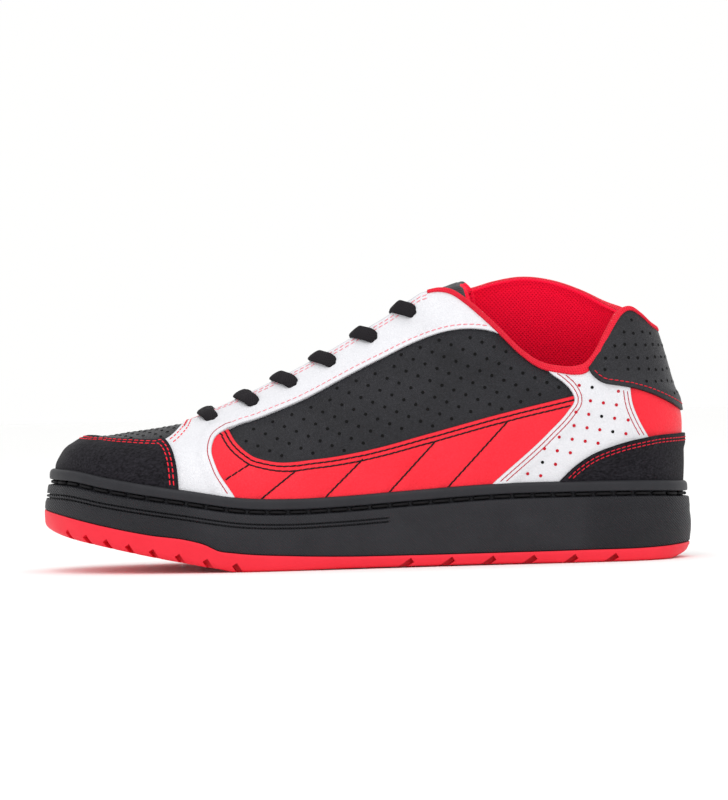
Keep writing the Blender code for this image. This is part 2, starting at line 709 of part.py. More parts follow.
def vamp_prism(name):
    """The window of the toe cap, pushed down from above."""
    turn = np.linspace(-math.pi / 2, math.pi / 2, 9)
    front = VAMP_SIDES[0]
    x = VAMP_FRONT + (front.x - VAMP_FRONT) * (1 - np.cos(turn))
    y = VAMP_CENTRE_Y + front.half_width * np.sin(turn)
    plan = list(zip(x, y))
    plan += [(row.x, VAMP_CENTRE_Y + row.half_width) for row in VAMP_SIDES[1:]]
    plan += [(row.x, VAMP_CENTRE_Y - row.half_width) for row in reversed(VAMP_SIDES[1:])]
    plan = np.array(plan) - PLAN_CENTRE
    count = len(plan)
    low = np.column_stack([plan, np.full(count, VAMP_FLOOR)])
    high = np.column_stack([plan, np.full(count, OVER_ALL + 5.0)])
    faces = [tuple(range(count)), tuple(range(count, 2 * count))]
    for i in range(count):
        j = (i + 1) % count
        faces.append((i, j, count + j, count + i))
    return helper(add_solid(name, np.vstack([low, high]), faces))


def make_outsole():
    """Red rubber tread: rounded ground edge, straight side and a top that meets the midsole."""
    def loop(inset, column, lift):
        plan = inset_loop(inset)
        return np.column_stack([plan, sole_height(column, plan[:, 0]) + lift])

    loops = [
        loop(4.2, "ground", 0.0),
        loop(1.7, "ground", 0.5),
        loop(0.5, "ground", 2.0),
        loop(0.0, "joint", -1.2),
        loop(0.1, "joint", -FIT_GAP / 2),
    ]
    outsole = loft("outsole", loops, "red_rubber")
    cut(outsole, tread_notches(), "DIFFERENCE")
    cut(outsole, tread_channels(), "DIFFERENCE")
    return outsole


def box_points(centre, along, across, up, half):
    """Eight corners of a box from its centre, three directions and three half sizes."""
    corners = []
    for a in (-1, 1):
        for b in (-1, 1):
            for c in (-1, 1):
                corners.append(centre + a * half[0] * along + b * half[1] * across + c * half[2] * up)
    return np.array(corners)


BOX_FACES = [(0, 1, 3, 2), (4, 6, 7, 5), (0, 4, 5, 1), (2, 3, 7, 6), (0, 2, 6, 4), (1, 5, 7, 3)]


def edge_place(x, side):
    """The sole's edge at x on one side: its plan point and its outward direction."""
    half = np.arange(HALF_STEPS + 1)
    if side == "medial":
        half = -half % LOOP
    loop = OUTLINE_LOOP[half]
    point = [np.interp(x - PLAN_CENTRE[0], loop[:, 0], loop[:, k]) for k in (0, 1)]
    out = [np.interp(x - PLAN_CENTRE[0], loop[:, 0], OUTWARD[half, k]) for k in (0, 1)]
    return np.array(point), np.array(out) / np.linalg.norm(out)


def tread_notches():
    """Slanted notches along the tread's edge."""
    points = []
    faces = []
    for row in NOTCHES:
        lean = math.radians(row.lean_deg)
        half = (row.width / 2, NOTCH_REACH, row.depth / math.cos(lean))
        for k in range(row.count):
            x = row.first_x + k * row.spacing + k * k * row.growth
            for side, turn in (("lateral", 1.0), ("medial", -1.0)):
                point, out = edge_place(x, side)
                across = np.array([out[0], out[1], 0.0])
                edge = np.array([-out[1], out[0], 0.0]) * turn
                rise = np.array([0.0, 0.0, 1.0])
                up = rise * math.cos(lean) - edge * math.sin(lean)
                along = edge * math.cos(lean) + rise * math.sin(lean)
                centre = np.array([point[0], point[1], float(sole_height("ground", x))])
                faces += [tuple(len(points) + i for i in face) for face in BOX_FACES]
                points += list(box_points(centre, along, across, up, half))
    return helper(add_solid("notch_cutter", points, faces))


def tread_channels():
    """Lengthwise channels that part the tread into lugs."""
    points = []
    faces = []
    for low, high in CHANNELS_X:
        steps = np.linspace(low, high, 5)
        start = len(points)
        for x in steps:
            ground = float(sole_height("ground", x))
            for dy in (-CHANNEL_WIDTH / 2, CHANNEL_WIDTH / 2):
                for z in (ground - 4.0, ground + CHANNEL_DEPTH):
                    points.append((x - PLAN_CENTRE[0], CHANNEL_Y + dy, z))
        for k in range(len(steps) - 1):
            a = start + 4 * k
            faces += [(a, a + 4, a + 6, a + 2), (a + 1, a + 3, a + 7, a + 5)]
            faces += [(a, a + 1, a + 5, a + 4), (a + 2, a + 6, a + 7, a + 3)]
        end = start + 4 * (len(steps) - 1)
        faces += [(start, start + 2, start + 3, start + 1), (end, end + 1, end + 3, end + 2)]
    return helper(add_solid("channel_cutter", points, faces))


def make_midsole(last):
    """Black cup sole: banded side wall, rim, and a cup that holds the foot of the upper."""
    rim = sole_height("rim", inset_loop(0.0)[:, 0])

    def band(below, inset):
        plan = inset_loop(inset)
        return np.column_stack([plan, rim - below])

    x = OUTLINE_LOOP[:, 0] + PLAN_CENTRE[0]
    in_front = 1 - smooth_step((x - LINE_END + LINE_FADE) / LINE_FADE)
    flush = BANDS[-1].inset + (LINE_FOOT.inset - BANDS[-1].inset) * 0.5
    line_inset = flush + (LINE_INSET - flush) * in_front
    wall_top = LINE_FOOT.inset * in_front + flush * (1 - in_front)
    base_plan = inset_loop(0.0)
    base_z = sole_height("joint", base_plan[:, 0]) + FIT_GAP / 2
    base = np.column_stack([base_plan, base_z])
    lowest = np.column_stack([inset_loop(0.3), base_z])
    wall = [lowest, base + np.array([0.0, 0.0, 0.6]), band(LINE_FOOT.below, wall_top)]
    wall += [band(below, line_inset) for below in reversed(LINE_BELOW)]
    wall += [band(row.below, row.inset) for row in reversed(BANDS)]
    cup_rim = last.rim + last.out * FIT_GAP
    cup_foot = last.foot + last.out * FIT_GAP
    cup_foot[:, 2] -= FLOOR_GAP
    return loft("midsole", [*wall, cup_rim, cup_foot], "black_rubber", turn_back=len(wall))


def make_insole(last):
    """Footbed that lies on the floor of the cup, inside the upper."""
    bottom = last.foot - last.out * (UPPER_WALL + FIT_GAP + 0.4)
    lift = INSOLE_THICKNESS / (last.rim[:, 2] - last.foot[:, 2])
    top = bottom + (last.rim - last.foot) * lift[:, None]
    top[:, 2] = bottom[:, 2] + INSOLE_THICKNESS
    return loft("insole", [bottom, top], "footbed")


def make_upper(last, edge):
    """One hollow wall from the floor of the cup to the throat and the collar."""
    shares = np.linspace(0.0, 1.0, WALL_ROWS + 1)
    outer = [last.at(edge * share) for share in shares]
    inner = [last.offset(edge * share, -last.padding(edge * share)) for share in shares[1:]]
    inner_rim = last.rim - last.out * UPPER_WALL
    inner_foot = last.foot - last.out * UPPER_WALL
    loops = [last.foot, *outer, *reversed(inner), inner_rim, inner_foot]
    return loft("upper", loops, "black_leather", turn_back=1 + len(outer), closed_section=True)


def overlay_shell(name, last, edge, thickness, finish):
    """A thin skin over the whole upper, just clear of it, from which a panel is cut."""
    rim_rise = 0.45
    start = rim_rise / (3 * section_value("rise"))
    shares = np.linspace(0.0, 1.0, WALL_ROWS + 1)
    rows = [start + (edge * 0.995 - start) * share for share in shares]
    outer = [last.offset(up, FIT_GAP + thickness) for up in rows]
    inner = [last.offset(up, FIT_GAP) for up in rows]
    loops = [*outer, *reversed(inner)]
    return loft(name, loops, finish, turn_back=len(outer), closed_section=True)


def make_overlays(last, edge):
    """Panels sewn on the upper, each cut from a skin by outlines."""
    for row in OVERLAYS:
        panel = overlay_shell(row.name, last, edge, row.thickness, OVERLAY_FINISH[row.name])
        pattern = side_prism(row.name + "_pattern", row.panel, 0.0, row.sides)
        for above in row.over:
            cut(pattern, side_prism(row.name + "_under_" + above, above, FIT_GAP, "beyond"), "DIFFERENCE")
        if row.panel == "toe_cap":
            cut(pattern, vamp_prism("vamp_window"), "DIFFERENCE")
        cut(panel, pattern, "INTERSECT")


def make_binding(last, wall_edge, collar_edge):
    """Binding along the collar, from one end of the throat round the heel to the other."""
    x = last.at(collar_edge)[:, 0] + PLAN_CENTRE[0]
    first = int(np.argmax(x[: HALF_STEPS + 1] > COLLAR_FRONT + 5.0))
    loop_points = np.arange(first, LOOP - first + 1)
    climb = np.linalg.norm(last.at(collar_edge) - last.at(wall_edge), axis=1)
    low = wall_edge + (collar_edge - wall_edge) * (FIT_GAP + 0.2) / np.maximum(climb, 1.0)
    middle = wall_edge + (collar_edge - wall_edge) * 0.62
    pad = last.padding(wall_edge)
    proud = BINDING_PROUD
    ring = [
        last.offset(low, proud),
        last.offset(middle, proud + 0.2),
        last.offset(collar_edge, -pad * 0.12),
        last.offset(collar_edge, -pad * 0.88),
        last.offset(middle, -pad - proud - 0.2),
        last.offset(low, -pad - proud * 0.6),
    ]
    rings = [np.array([side[i] for side in ring]) for i in loop_points]
    return strip("collar_binding", rings, "red_webbing")


def throat_pairs(last, from_x, to_x):
    """Loop indices on the lateral side whose edge points lie along the throat."""
    x = last.edge[:, 0] + PLAN_CENTRE[0]
    return [i for i in range(1, HALF_STEPS) if from_x <= x[i] <= to_x]


def across_throat(start, end, crown, count):
    """Points of a low arch between two points, ends left out."""
    t = np.linspace(0.0, 1.0, count + 2)[1:-1]
    arch = start + (end - start) * t[:, None]
    arch[:, 2] += crown * 4 * t * (1 - t)
    return arch


def make_tongue(last):
    """Padded tongue: under the eyestays on both sides and arched across the throat."""
    flank = (0.66, 0.83, 1.0)
    normals = [last.normal(up) for up in flank]
    outer = []
    for up, normal in zip(flank, normals):
        clear = last.padding(up) + FIT_GAP + 0.5
        outer.append(last.at(up) - normal * clear[:, None])
    rings = []
    for i in throat_pairs(last, -77.0, 21.0):
        j = LOOP - i
        across = normals[-1][i] + normals[-1][j]
        across /= np.linalg.norm(across)
        arch = across_throat(outer[-1][i], outer[-1][j], 1.2, 3)
        top = [side[i] for side in outer] + list(arch) + [side[j] for side in reversed(outer)]
        facing = [side[i] for side in normals] + [across] * 3 + [side[j] for side in reversed(normals)]
        facing[2] = (facing[2] + across) / np.linalg.norm(facing[2] + across)
        facing[-3] = (facing[-3] + across) / np.linalg.norm(facing[-3] + across)
        under = [point - TONGUE_THICKNESS * way for point, way in zip(top, facing)]
        rings.append(np.array(top + under[::-1]))
    end = rings[-1]
    crown = end[4]
    for row in TONGUE_END:
        ring = crown + (end - crown) * np.array([1.0, row.width, row.depth])
        rings.append(ring + np.array([row.back, 0.0, row.rise]))
    return strip("tongue", rings, "tongue_cloth")


def lace_path(last, edge_x):
    """A bar's middle line and its upward directions: lateral eyestay, throat, medial eyestay."""
    lift = FIT_GAP + EYESTAY_THICKNESS + FIT_GAP + 0.1 + LACE_THICKNESS / 2
    speed = 3 * np.linalg.norm(last.edge - last.high, axis=1)
    lateral = np.array(throat_pairs(last, -82.0, 60.0))
    sides = []
    for indices in (lateral, LOOP - lateral):
        x = last.edge[indices, 0] + PLAN_CENTRE[0]
        points = []
        ups = []
        for share in (1.0, 0.5, 0.0):
            up = 1 - share * LACE_END_RUN / speed
            at = edge_x + LACE_END_BACK * share
            normal = last.normal(up)[indices]
            line = last.at(up)[indices] + normal * lift
            points.append([np.interp(at, x, line[:, k]) for k in range(3)])
            ups.append([np.interp(at, x, normal[:, k]) for k in range(3)])
        sides.append((np.array(points), np.array(ups)))
    (left, left_up), (right, right_up) = sides
    arch = across_throat(left[-1], right[-1], 1.8, 3)
    share = np.linspace(0.0, 1.0, 5)[1:-1, None]
    arch_up = left_up[-1] * (1 - share) + right_up[-1] * share
    return np.vstack([left, arch, right[::-1]]), np.vstack([left_up, arch_up, right_up[::-1]])


def make_lace_bars(last):
    """One flat bar of lace for each pair of eyelets."""
    turn = np.linspace(0.0, 2 * math.pi, 6, endpoint=False)
    for number, edge_x in enumerate(LACE_EDGE_X, start=1):
        path, ups = lace_path(last, edge_x)
        rings = []
        for k, point in enumerate(path):
            along = path[min(k + 1, len(path) - 1)] - path[max(k - 1, 0)]
            along /= np.linalg.norm(along)
            wide = np.cross(ups[k], along)
            wide /= np.linalg.norm(wide)
            thick = np.cross(along, wide)
            ring = point + np.outer(np.cos(turn) * LACE_WIDTH / 2, wide)
            rings.append(ring + np.outer(np.sin(turn) * LACE_THICKNESS / 2, thick))
        strip(f"lace_bar_{number}", rings, "lace_cord")


def main():
    for old in list(bpy.data.objects):
        bpy.data.objects.remove(old)
    last = Last()
    wall_edge = last.trimmed(BINDING_HEIGHT)
    collar_edge = last.trimmed(0.0)
    make_outsole()
    make_midsole(last)
    make_insole(last)
    make_upper(last, wall_edge)
    make_overlays(last, wall_edge)
    make_binding(last, wall_edge, collar_edge)
    make_tongue(last)
    make_lace_bars(last)


main()
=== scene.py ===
import math

import bpy
import numpy as np
from mathutils import Matrix, Vector
from mathutils.bvhtree import BVHTree


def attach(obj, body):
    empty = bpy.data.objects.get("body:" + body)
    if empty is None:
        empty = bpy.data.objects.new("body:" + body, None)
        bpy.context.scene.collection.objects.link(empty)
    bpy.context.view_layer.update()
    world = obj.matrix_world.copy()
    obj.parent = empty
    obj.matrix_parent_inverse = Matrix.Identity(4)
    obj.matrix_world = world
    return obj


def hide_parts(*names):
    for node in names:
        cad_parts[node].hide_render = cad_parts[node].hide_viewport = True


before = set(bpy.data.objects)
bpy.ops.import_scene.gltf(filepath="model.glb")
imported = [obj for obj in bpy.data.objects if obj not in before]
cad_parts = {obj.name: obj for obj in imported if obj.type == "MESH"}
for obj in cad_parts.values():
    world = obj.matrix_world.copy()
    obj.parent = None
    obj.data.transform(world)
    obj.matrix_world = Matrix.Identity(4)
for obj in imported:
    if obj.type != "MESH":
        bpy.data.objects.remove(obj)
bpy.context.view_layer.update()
bpy.ops.object.select_all(action="DESELECT")
mm = 0.001  # tables are in millimetres, meshes in metres
print("frame loaded:", len(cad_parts), "nodes")

# the last: toe to -x, outer side to -y. Outline rows: share of the length, outer and inner half width
# Sole rows: x, ground, joint, rim, bed. Section rows: outline x, inset, edge x y z, rise, lean, reach, drop
lastShape = {
    "length": 302.0,
    "ballWidth": 110.0,
    "toeShift": 6.0,
    "heelShift": -2.0,
    "columns": 640,
    "rows": 96,
    "wall": 2.2,
    "collarPad": 3.8,
    "padFrom": 18.0,
    "padRun": 30.0,
    "padShares": (0.2, 0.3),
    "liningPuff": 1.6,
    "liningFrom": 34.0,
    "liningRun": 30.0,
    "liningHeight": 46.0,
    "rollHeight": 0.8,
    "rollSteps": 7,
    "seat": 0.35,
    "tuckedRows": (2.4, 1.2),
    "creaseFade": 8.0,
    "frontRoom": 50.0,
    "outline": [
        (0.017, 0.145, 0.218), (0.063, 0.309, 0.355), (0.136, 0.427, 0.450), (0.235, 0.495, 0.486),
        (0.334, 0.514, 0.464), (0.450, 0.482, 0.409), (0.583, 0.432, 0.373), (0.715, 0.400, 0.364),
        (0.831, 0.382, 0.359), (0.914, 0.341, 0.314), (0.970, 0.227, 0.191),
    ],
    "sole": [
        (-151.0, 20.5, 29.2, 48.0, 12.0), (-139.0, 16.6, 26.3, 47.3, 12.5), (-121.0, 12.4, 22.0, 43.8, 13.0),
        (-99.0, 7.6, 17.6, 40.0, 13.0), (-81.0, 4.0, 14.9, 37.2, 13.5), (-74.0, 2.6, 12.9, 36.0, 13.5),
        (-68.0, 1.6, 10.0, 35.0, 13.5), (-61.0, 0.0, 8.9, 34.0, 13.5), (-34.0, 0.0, 6.9, 32.6, 14.2),
        (-14.0, 0.35, 6.1, 33.1, 15.0), (20.0, 0.4, 5.7, 35.0, 16.5), (60.0, 0.35, 5.7, 37.0, 18.0),
        (95.0, 0.0, 5.9, 37.2, 18.5), (138.0, 0.0, 6.5, 36.4, 18.5), (151.0, 3.4, 7.4, 35.6, 18.5),
    ],
    "toe": (-151.0, 6.6, -80.0, 2.5, 68.6, 15.8, 0.2, 47.0, 8.6),
    "heel": (151.0, 5.2, 128.6, -1.0, 124.0, 28.0, -2.4, 13.6, 34.0),
    "lateral": [
        (-132.0, 6.4, -79.0, -4.5, 69.0, 15.3, 0.5, 38.0, 8.6),
        (-110.0, 6.0, -76.0, -8.5, 70.4, 15.5, 0.8, 27.0, 8.5),
        (-80.0, 5.6, -68.0, -11.5, 73.8, 17.0, 1.2, 21.0, 9.5),
        (-50.0, 5.4, -50.0, -13.0, 81.8, 20.0, 2.0, 19.0, 13.0),
        (-15.0, 5.2, -16.0, -14.5, 98.7, 26.0, 3.0, 15.5, 17.0),
        (22.0, 5.2, 22.0, -16.5, 121.4, 34.0, 2.8, 10.0, 26.0),
        (33.0, 5.2, 32.5, -17.2, 128.0, 35.0, 2.0, 9.2, 29.0),
        (45.0, 5.2, 43.0, -18.0, 131.5, 36.0, 1.2, 8.5, 32.0),
        (70.0, 5.2, 67.0, -20.0, 133.0, 36.0, 0.0, 9.0, 35.0),
        (100.0, 5.4, 94.0, -21.0, 132.0, 34.0, -1.2, 11.0, 37.0),
        (125.0, 5.6, 115.0, -18.5, 129.0, 30.0, -1.6, 13.5, 36.0),
        (142.0, 5.6, 126.0, -10.5, 126.0, 28.0, -1.6, 15.0, 35.0),
    ],
    "medial": [
        (-132.0, 6.4, -79.0, 9.0, 69.0, 15.3, 0.5, 38.0, 8.6),
        (-110.0, 6.0, -76.0, 12.5, 70.4, 15.5, 0.8, 27.0, 8.5),
        (-80.0, 5.6, -68.0, 15.0, 73.8, 17.0, 1.2, 21.0, 9.5),
        (-50.0, 5.4, -50.0, 16.0, 81.8, 20.0, 1.6, 18.0, 13.0),
        (-15.0, 5.2, -16.0, 17.0, 98.7, 27.0, 1.6, 14.0, 17.0),
        (22.0, 5.2, 22.0, 18.0, 121.4, 36.0, 0.8, 10.0, 26.0),
        (33.0, 5.2, 32.5, 18.5, 128.5, 38.0, 0.6, 9.8, 29.5),
        (45.0, 5.2, 43.0, 19.0, 134.0, 40.0, 0.4, 9.5, 33.0),
        (70.0, 5.2, 67.0, 20.0, 139.0, 40.0, 0.0, 10.0, 36.0),
        (100.0, 5.4, 94.0, 20.0, 137.0, 37.0, -1.0, 11.5, 38.0),
        (125.0, 5.6, 115.0, 17.0, 131.0, 31.0, -1.4, 13.5, 36.0),
        (142.0, 5.6, 126.0, 9.0, 126.5, 28.0, -1.6, 15.0, 35.0),
    ],
    "collarFront": 24.0,
    "tapeHeight": [
        (24.0, 0.8), (32.0, 1.3), (40.0, 2.2), (50.0, 3.0), (75.0, 3.0), (92.0, 3.2), (104.0, 4.6), (113.0, 4.0),
        (119.0, 2.2), (140.0, 2.2),
    ],
    "collarLateral": [
        (24.0, 124.4), (30.0, 126.6), (36.0, 127.8), (41.0, 127.0), (47.0, 123.2), (54.0, 117.2), (62.0, 109.2),
        (71.0, 99.6), (80.0, 92.9), (89.0, 90.4), (96.0, 90.1), (102.0, 92.3), (106.0, 97.2), (110.0, 104.4),
        (114.0, 110.8), (118.0, 115.6), (122.0, 117.0), (127.0, 114.0), (132.0, 109.4), (137.0, 106.8),
    ],
    "collarMedial": [
        (24.0, 124.4), (30.0, 126.4), (38.0, 127.0), (50.0, 128.4), (62.0, 131.6), (75.0, 133.4), (90.0, 131.4),
        (104.0, 126.4), (116.0, 120.2), (122.0, 117.4), (127.0, 114.4), (132.0, 109.4), (137.0, 106.8),
    ],
}

# soft troughs and ridges of the upper: from x z to x z, width, height
creases = [
    ((-74.0, 60.0), (-66.0, 40.0), 5.0, -0.45),
    ((-60.0, 66.0), (-55.0, 38.0), 6.0, 0.35),
    ((-46.0, 66.0), (-38.0, 40.0), 7.0, -0.5),
    ((0.0, 84.0), (30.0, 66.0), 12.0, 0.5),
    ((44.0, 84.0), (76.0, 74.0), 10.0, -0.5),
    ((56.0, 98.0), (84.0, 80.0), 7.0, 0.9),
    ((112.0, 96.0), (126.0, 100.0), 9.0, 0.9),
    ((104.0, 60.0), (122.0, 70.0), 9.0, -0.4),
    ((-112.0, 58.0), (-96.0, 50.0), 9.0, 0.5),
    ((-137.0, 56.0), (-128.0, 60.5), 5.5, 1.2),
    ((-147.0, 50.0), (-139.0, 59.5), 5.5, -1.4),
    ((147.0, 66.0), (147.0, 72.0), 8.0, 1.2),
    ((8.0, 116.0), (24.0, 106.0), 7.0, -0.6),
    ((22.0, 120.0), (40.0, 112.0), 7.0, 0.5),
]


def softStep(value):
    share = np.clip(value, 0.0, 1.0)
    return share * share * (3 - 2 * share)


# smooth curve through values at rising keys, closed on itself when it has a period
def curveThrough(keys, values, at, period=None):
    keys = np.asarray(keys, float)
    values = np.asarray(values, float)
    at = np.asarray(at, float)
    if period:
        at = keys[0] + np.mod(at - keys[0], period)
        keys = np.concatenate([[keys[-1] - period], keys, keys[:2] + period])
        values = np.concatenate([values[-1:], values, values[:2]])
    steps = np.diff(keys)
    gaps = steps.reshape((-1,) + (1,) * (values.ndim - 1))
    chords = np.diff(values, axis=0) / gaps
    middle = (chords[:-1] * gaps[1:] + chords[1:] * gaps[:-1]) / (gaps[1:] + gaps[:-1])
    slopes = np.concatenate([chords[:1], middle, chords[-1:]])
    span = np.clip(np.searchsorted(keys, at, side="right") - 1, 0, len(steps) - 1)
    wide = at.shape + (1,) * (values.ndim - 1)
    h = steps[span].reshape(wide)
    t = np.clip((at - keys[span]) / steps[span], 0.0, 1.0).reshape(wide)
    start = (1 + 2 * t) * (1 - t) ** 2 * values[span] + t * (1 - t) ** 2 * h * slopes[span]
    end = t * t * (3 - 2 * t) * values[span + 1] + t * t * (t - 1) * h * slopes[span + 1]
    return start + end


def unit(vectors):
    return vectors / np.maximum(np.linalg.norm(vectors, axis=-1, keepdims=True), 1e-9)


# distance run along a line of points, or along each row of a grid
def runAlong(points):
    steps = np.linalg.norm(np.diff(points, axis=-2), axis=-1)
    return np.concatenate([np.zeros(steps.shape[:-1] + (1,)), np.cumsum(steps, axis=-1)], axis=-1)


# straight steps between points at rising keys
def between(at, keys, points):
    return np.stack([np.interp(at, keys, column) for column in points.T], axis=-1)


def soleHeight(column, x):
    place = ("ground", "joint", "rim", "bed").index(column) + 1
    rows = lastShape["sole"]
    return np.maximum(curveThrough([row[0] for row in rows], [row[place] for row in rows], x), 0.0)


def soleOutline():
    length, width = lastShape["length"], lastShape["ballWidth"]
    knots = [(-length / 2, lastShape["toeShift"])]
    knots += [(along * length - length / 2, -outer * width) for along, outer, inner in lastShape["outline"]]
    knots += [(length / 2, lastShape["heelShift"])]
    for along, outer, inner in reversed(lastShape["outline"]):
        knots.append((along * length - length / 2, inner * width))
    knots = np.array(knots)
    steps = np.linalg.norm(np.roll(knots, -1, axis=0) - knots, axis=1) ** 0.75
    keys = np.concatenate([[0.0], np.cumsum(steps)])
    fine = curveThrough(keys[:-1], knots, np.linspace(0.0, keys[-1], 3600, endpoint=False), period=keys[-1])
    centre = (fine.max(axis=0) + fine.min(axis=0)) / 2
    fine = fine - centre
    fine = np.roll(fine, -int(np.argmin(fine[:, 0])), axis=0)
    heel = int(np.argmax(fine[:, 0]))
    sides = [fine[: heel + 1], np.vstack([fine[heel:], fine[:1]])]
    loop = []
    for side in sides:
        run = runAlong(side)
        at = np.linspace(0.0, run[-1], lastShape["columns"] // 2 + 1)[:-1]
        loop.append(between(at, run, side))
    return np.vstack(loop), centre


columns = lastShape["columns"]
half = columns // 2
plan, planCentre = soleOutline()
along = np.roll(plan, -1, axis=0) - np.roll(plan, 1, axis=0)
planOut = unit(np.stack([along[:, 1], -along[:, 0]], axis=1))
around = np.arange(columns) / half  # 0 toe, 1 heel, 2 toe again by the inner side
onInside = np.arange(columns) > half


def sectionTable():
    x = plan[:, 0] + planCentre[0]
    keys = [0.0]
    keys += [float(np.interp(row[0], x[: half + 1], around[: half + 1])) for row in lastShape["lateral"]]
    keys += [1.0]
    back = np.append(x[half:], x[0])[::-1]
    backKeys = np.append(around[half:], 2.0)[::-1]
    keys += [float(np.interp(row[0], back, backKeys)) for row in reversed(lastShape["medial"])]
    rows = [lastShape["toe"], *lastShape["lateral"], lastShape["heel"], *reversed(lastShape["medial"])]
    return curveThrough(keys, np.array(rows), around, period=2.0).T


inset, edgeX, edgeY, edgeZ, rise, lean, reach, drop = sectionTable()[1:]
rimPlan = plan - planOut * inset[:, None]
rim = np.column_stack([rimPlan, soleHeight("rim", rimPlan[:, 0])])
topEdge = np.column_stack([edgeX - planCentre[0], edgeY - planCentre[1], edgeZ])
outward = np.column_stack([unit(rimPlan - topEdge[:, :2]), np.zeros(columns)])
upward = np.array([0.0, 0.0, 1.0])
lowHandle = rim + np.outer(rise, upward) - outward * lean[:, None]
highHandle = topEdge + outward * reach[:, None] - np.outer(drop, upward)
foot = rim - outward
foot[:, 2] = soleHeight("ground", foot[:, 0]) + soleHeight("bed", foot[:, 0]) + lastShape["seat"]


# points of the last: share 0 at the rim of the sole, 1 at the throat or above the collar
def lastAt(share):
    t = np.asarray(share, float)[..., None]
    s = 1 - t
    a, b, c, d = (p[:, None, :] for p in (rim, lowHandle, highHandle, topEdge))
    return s**3 * a + 3 * s * s * t * b + 3 * s * t * t * c + t**3 * d


# share at which the wall ends: at the collar line, or lower by the height of the tape on it
def trimmedEdge(taped):
    tries = np.linspace(0.2, 1.0, 401)
    surface = lastAt(np.broadcast_to(tries, (columns, 401)))
    x = surface[..., 0] + planCentre[0]
    found = np.ones(columns)
    for i in range(columns):
        rows = lastShape["collarMedial"] if onInside[i] else lastShape["collarLateral"]
        line = curveThrough(*zip(*rows), x[i])
        room = line - taped * curveThrough(*zip(*lastShape["tapeHeight"]), x[i]) - surface[i, :, 2]
        room = np.where(x[i] < lastShape["collarFront"], lastShape["frontRoom"], room)
        over = np.flatnonzero(room < 0)
        if len(over):
            k = over[0]
            found[i] = tries[k - 1] + (tries[k] - tries[k - 1]) * room[k - 1] / (room[k - 1] - room[k])
    return found


def gridNormals(points, closed=True):
    if closed:
        across = np.roll(points, -1, axis=0) - np.roll(points, 1, axis=0)
    else:
        across = np.gradient(points, axis=0)
    return unit(np.cross(across, np.gradient(points, axis=1)))


def distanceToLine(points, start, end):
    start, end = np.asarray(start, float), np.asarray(end, float)
    way = end - start
    t = np.clip(((points - start) @ way) / (way @ way), 0.0, 1.0)
    return np.linalg.norm(points - start - t[..., None] * way, axis=-1)


wallEdge = trimmedEdge(1.0)
collarEdge = trimmedEdge(0.0)
rowShares = np.linspace(0.0, 1.0, lastShape["rows"] + 1)
shares = wallEdge[:, None] * rowShares[None, :]
basePoints = lastAt(shares)
downward = unit(foot - rim)[:, None, :]
under = np.array(lastShape["tuckedRows"])[None, :, None]
basePoints = np.concatenate([rim[:, None, :] + downward * under, basePoints], axis=1)
shares = np.concatenate([np.zeros((columns, under.size)), shares], axis=1)
baseNormals = gridNormals(basePoints)
sideView = np.stack([basePoints[..., 0] + planCentre[0], basePoints[..., 2]], axis=-1)
planView = basePoints[..., :2] + planCentre
relief = np.zeros(shares.shape)
for start, end, width, height in creases:
    relief += height * np.exp(-(distanceToLine(sideView, start, end) / width) ** 2)
relief *= softStep((sideView[..., 1] - rim[:, None, 2]) / lastShape["creaseFade"])
basePoints = basePoints + baseNormals * relief[..., None]
baseNormals = gridNormals(basePoints)
rowCount = basePoints.shape[1]
upRun = runAlong(basePoints)
topRun = upRun[:, -1:] - upRun  # distance below the throat or collar edge
planRun = runAlong(plan)
baseMap = np.stack([np.broadcast_to(planRun[:, None], upRun.shape), upRun], axis=-1)


# what the padded collar adds to the wall, by place along the shoe
def paddingAt(x):
    return lastShape["collarPad"] * softStep((x - lastShape["padFrom"]) / lastShape["padRun"])


padStart, padGrowth = lastShape["padShares"]
wallThickness = lastShape["wall"] + paddingAt(sideView[..., 0]) * softStep((shares - padStart) / padGrowth)
tapeClimb = np.linalg.norm(lastAt(collarEdge[:, None]) - lastAt(wallEdge[:, None]), axis=2)[:, 0]
print("last shaped:", columns, "x", rowCount, "points")


# mesh helpers
def gridFaces(wide, high, closeWide=True, closeHigh=False):
    i = np.arange(wide if closeWide else wide - 1)[:, None]
    j = np.arange(high if closeHigh else high - 1)[None, :]
    i2, j2 = (i + 1) % wide, (j + 1) % high
    corners = [i * high + j, i2 * high + j, i2 * high + j2, i * high + j2]
    return np.stack([np.broadcast_to(c, (i.size, j.size)) for c in corners], axis=-1).reshape(-1, 4)


# faces that close a loop by joining the points that face each other
def ladderFaces(start, count, step, flip=False):
    def at(i):
        return start + (i % count) * step
    faces = [(at(0), at(1), at(-1))]
    faces += [(at(i), at(i + 1), at(-i - 1), at(-i)) for i in range(1, count // 2 - 1)]
    faces += [(at(count // 2 - 1), at(count // 2), at(count // 2 + 1))]
    return [face[::-1] for face in faces] if flip else faces


# a stack of loops closed at the bottom and the top
def stackFaces(wide, high):
    faces = gridFaces(wide, high).tolist()
    return faces + ladderFaces(0, wide, high, flip=True) + ladderFaces(high - 1, wide, high)


# a tube of rings with a flat cap at each end
def tubeFaces(rings, ringPoints):
    last = (rings - 1) * ringPoints
    faces = gridFaces(rings, ringPoints, closeWide=False, closeHigh=True).tolist()
    return faces + [list(range(ringPoints)), [last + k for k in reversed(range(ringPoints))]]


# the faces of one small form, once for each of its places
def repeatFaces(one, pointCount, places):
    return [[n * pointCount + k for k in face] for n in range(places) for face in one]


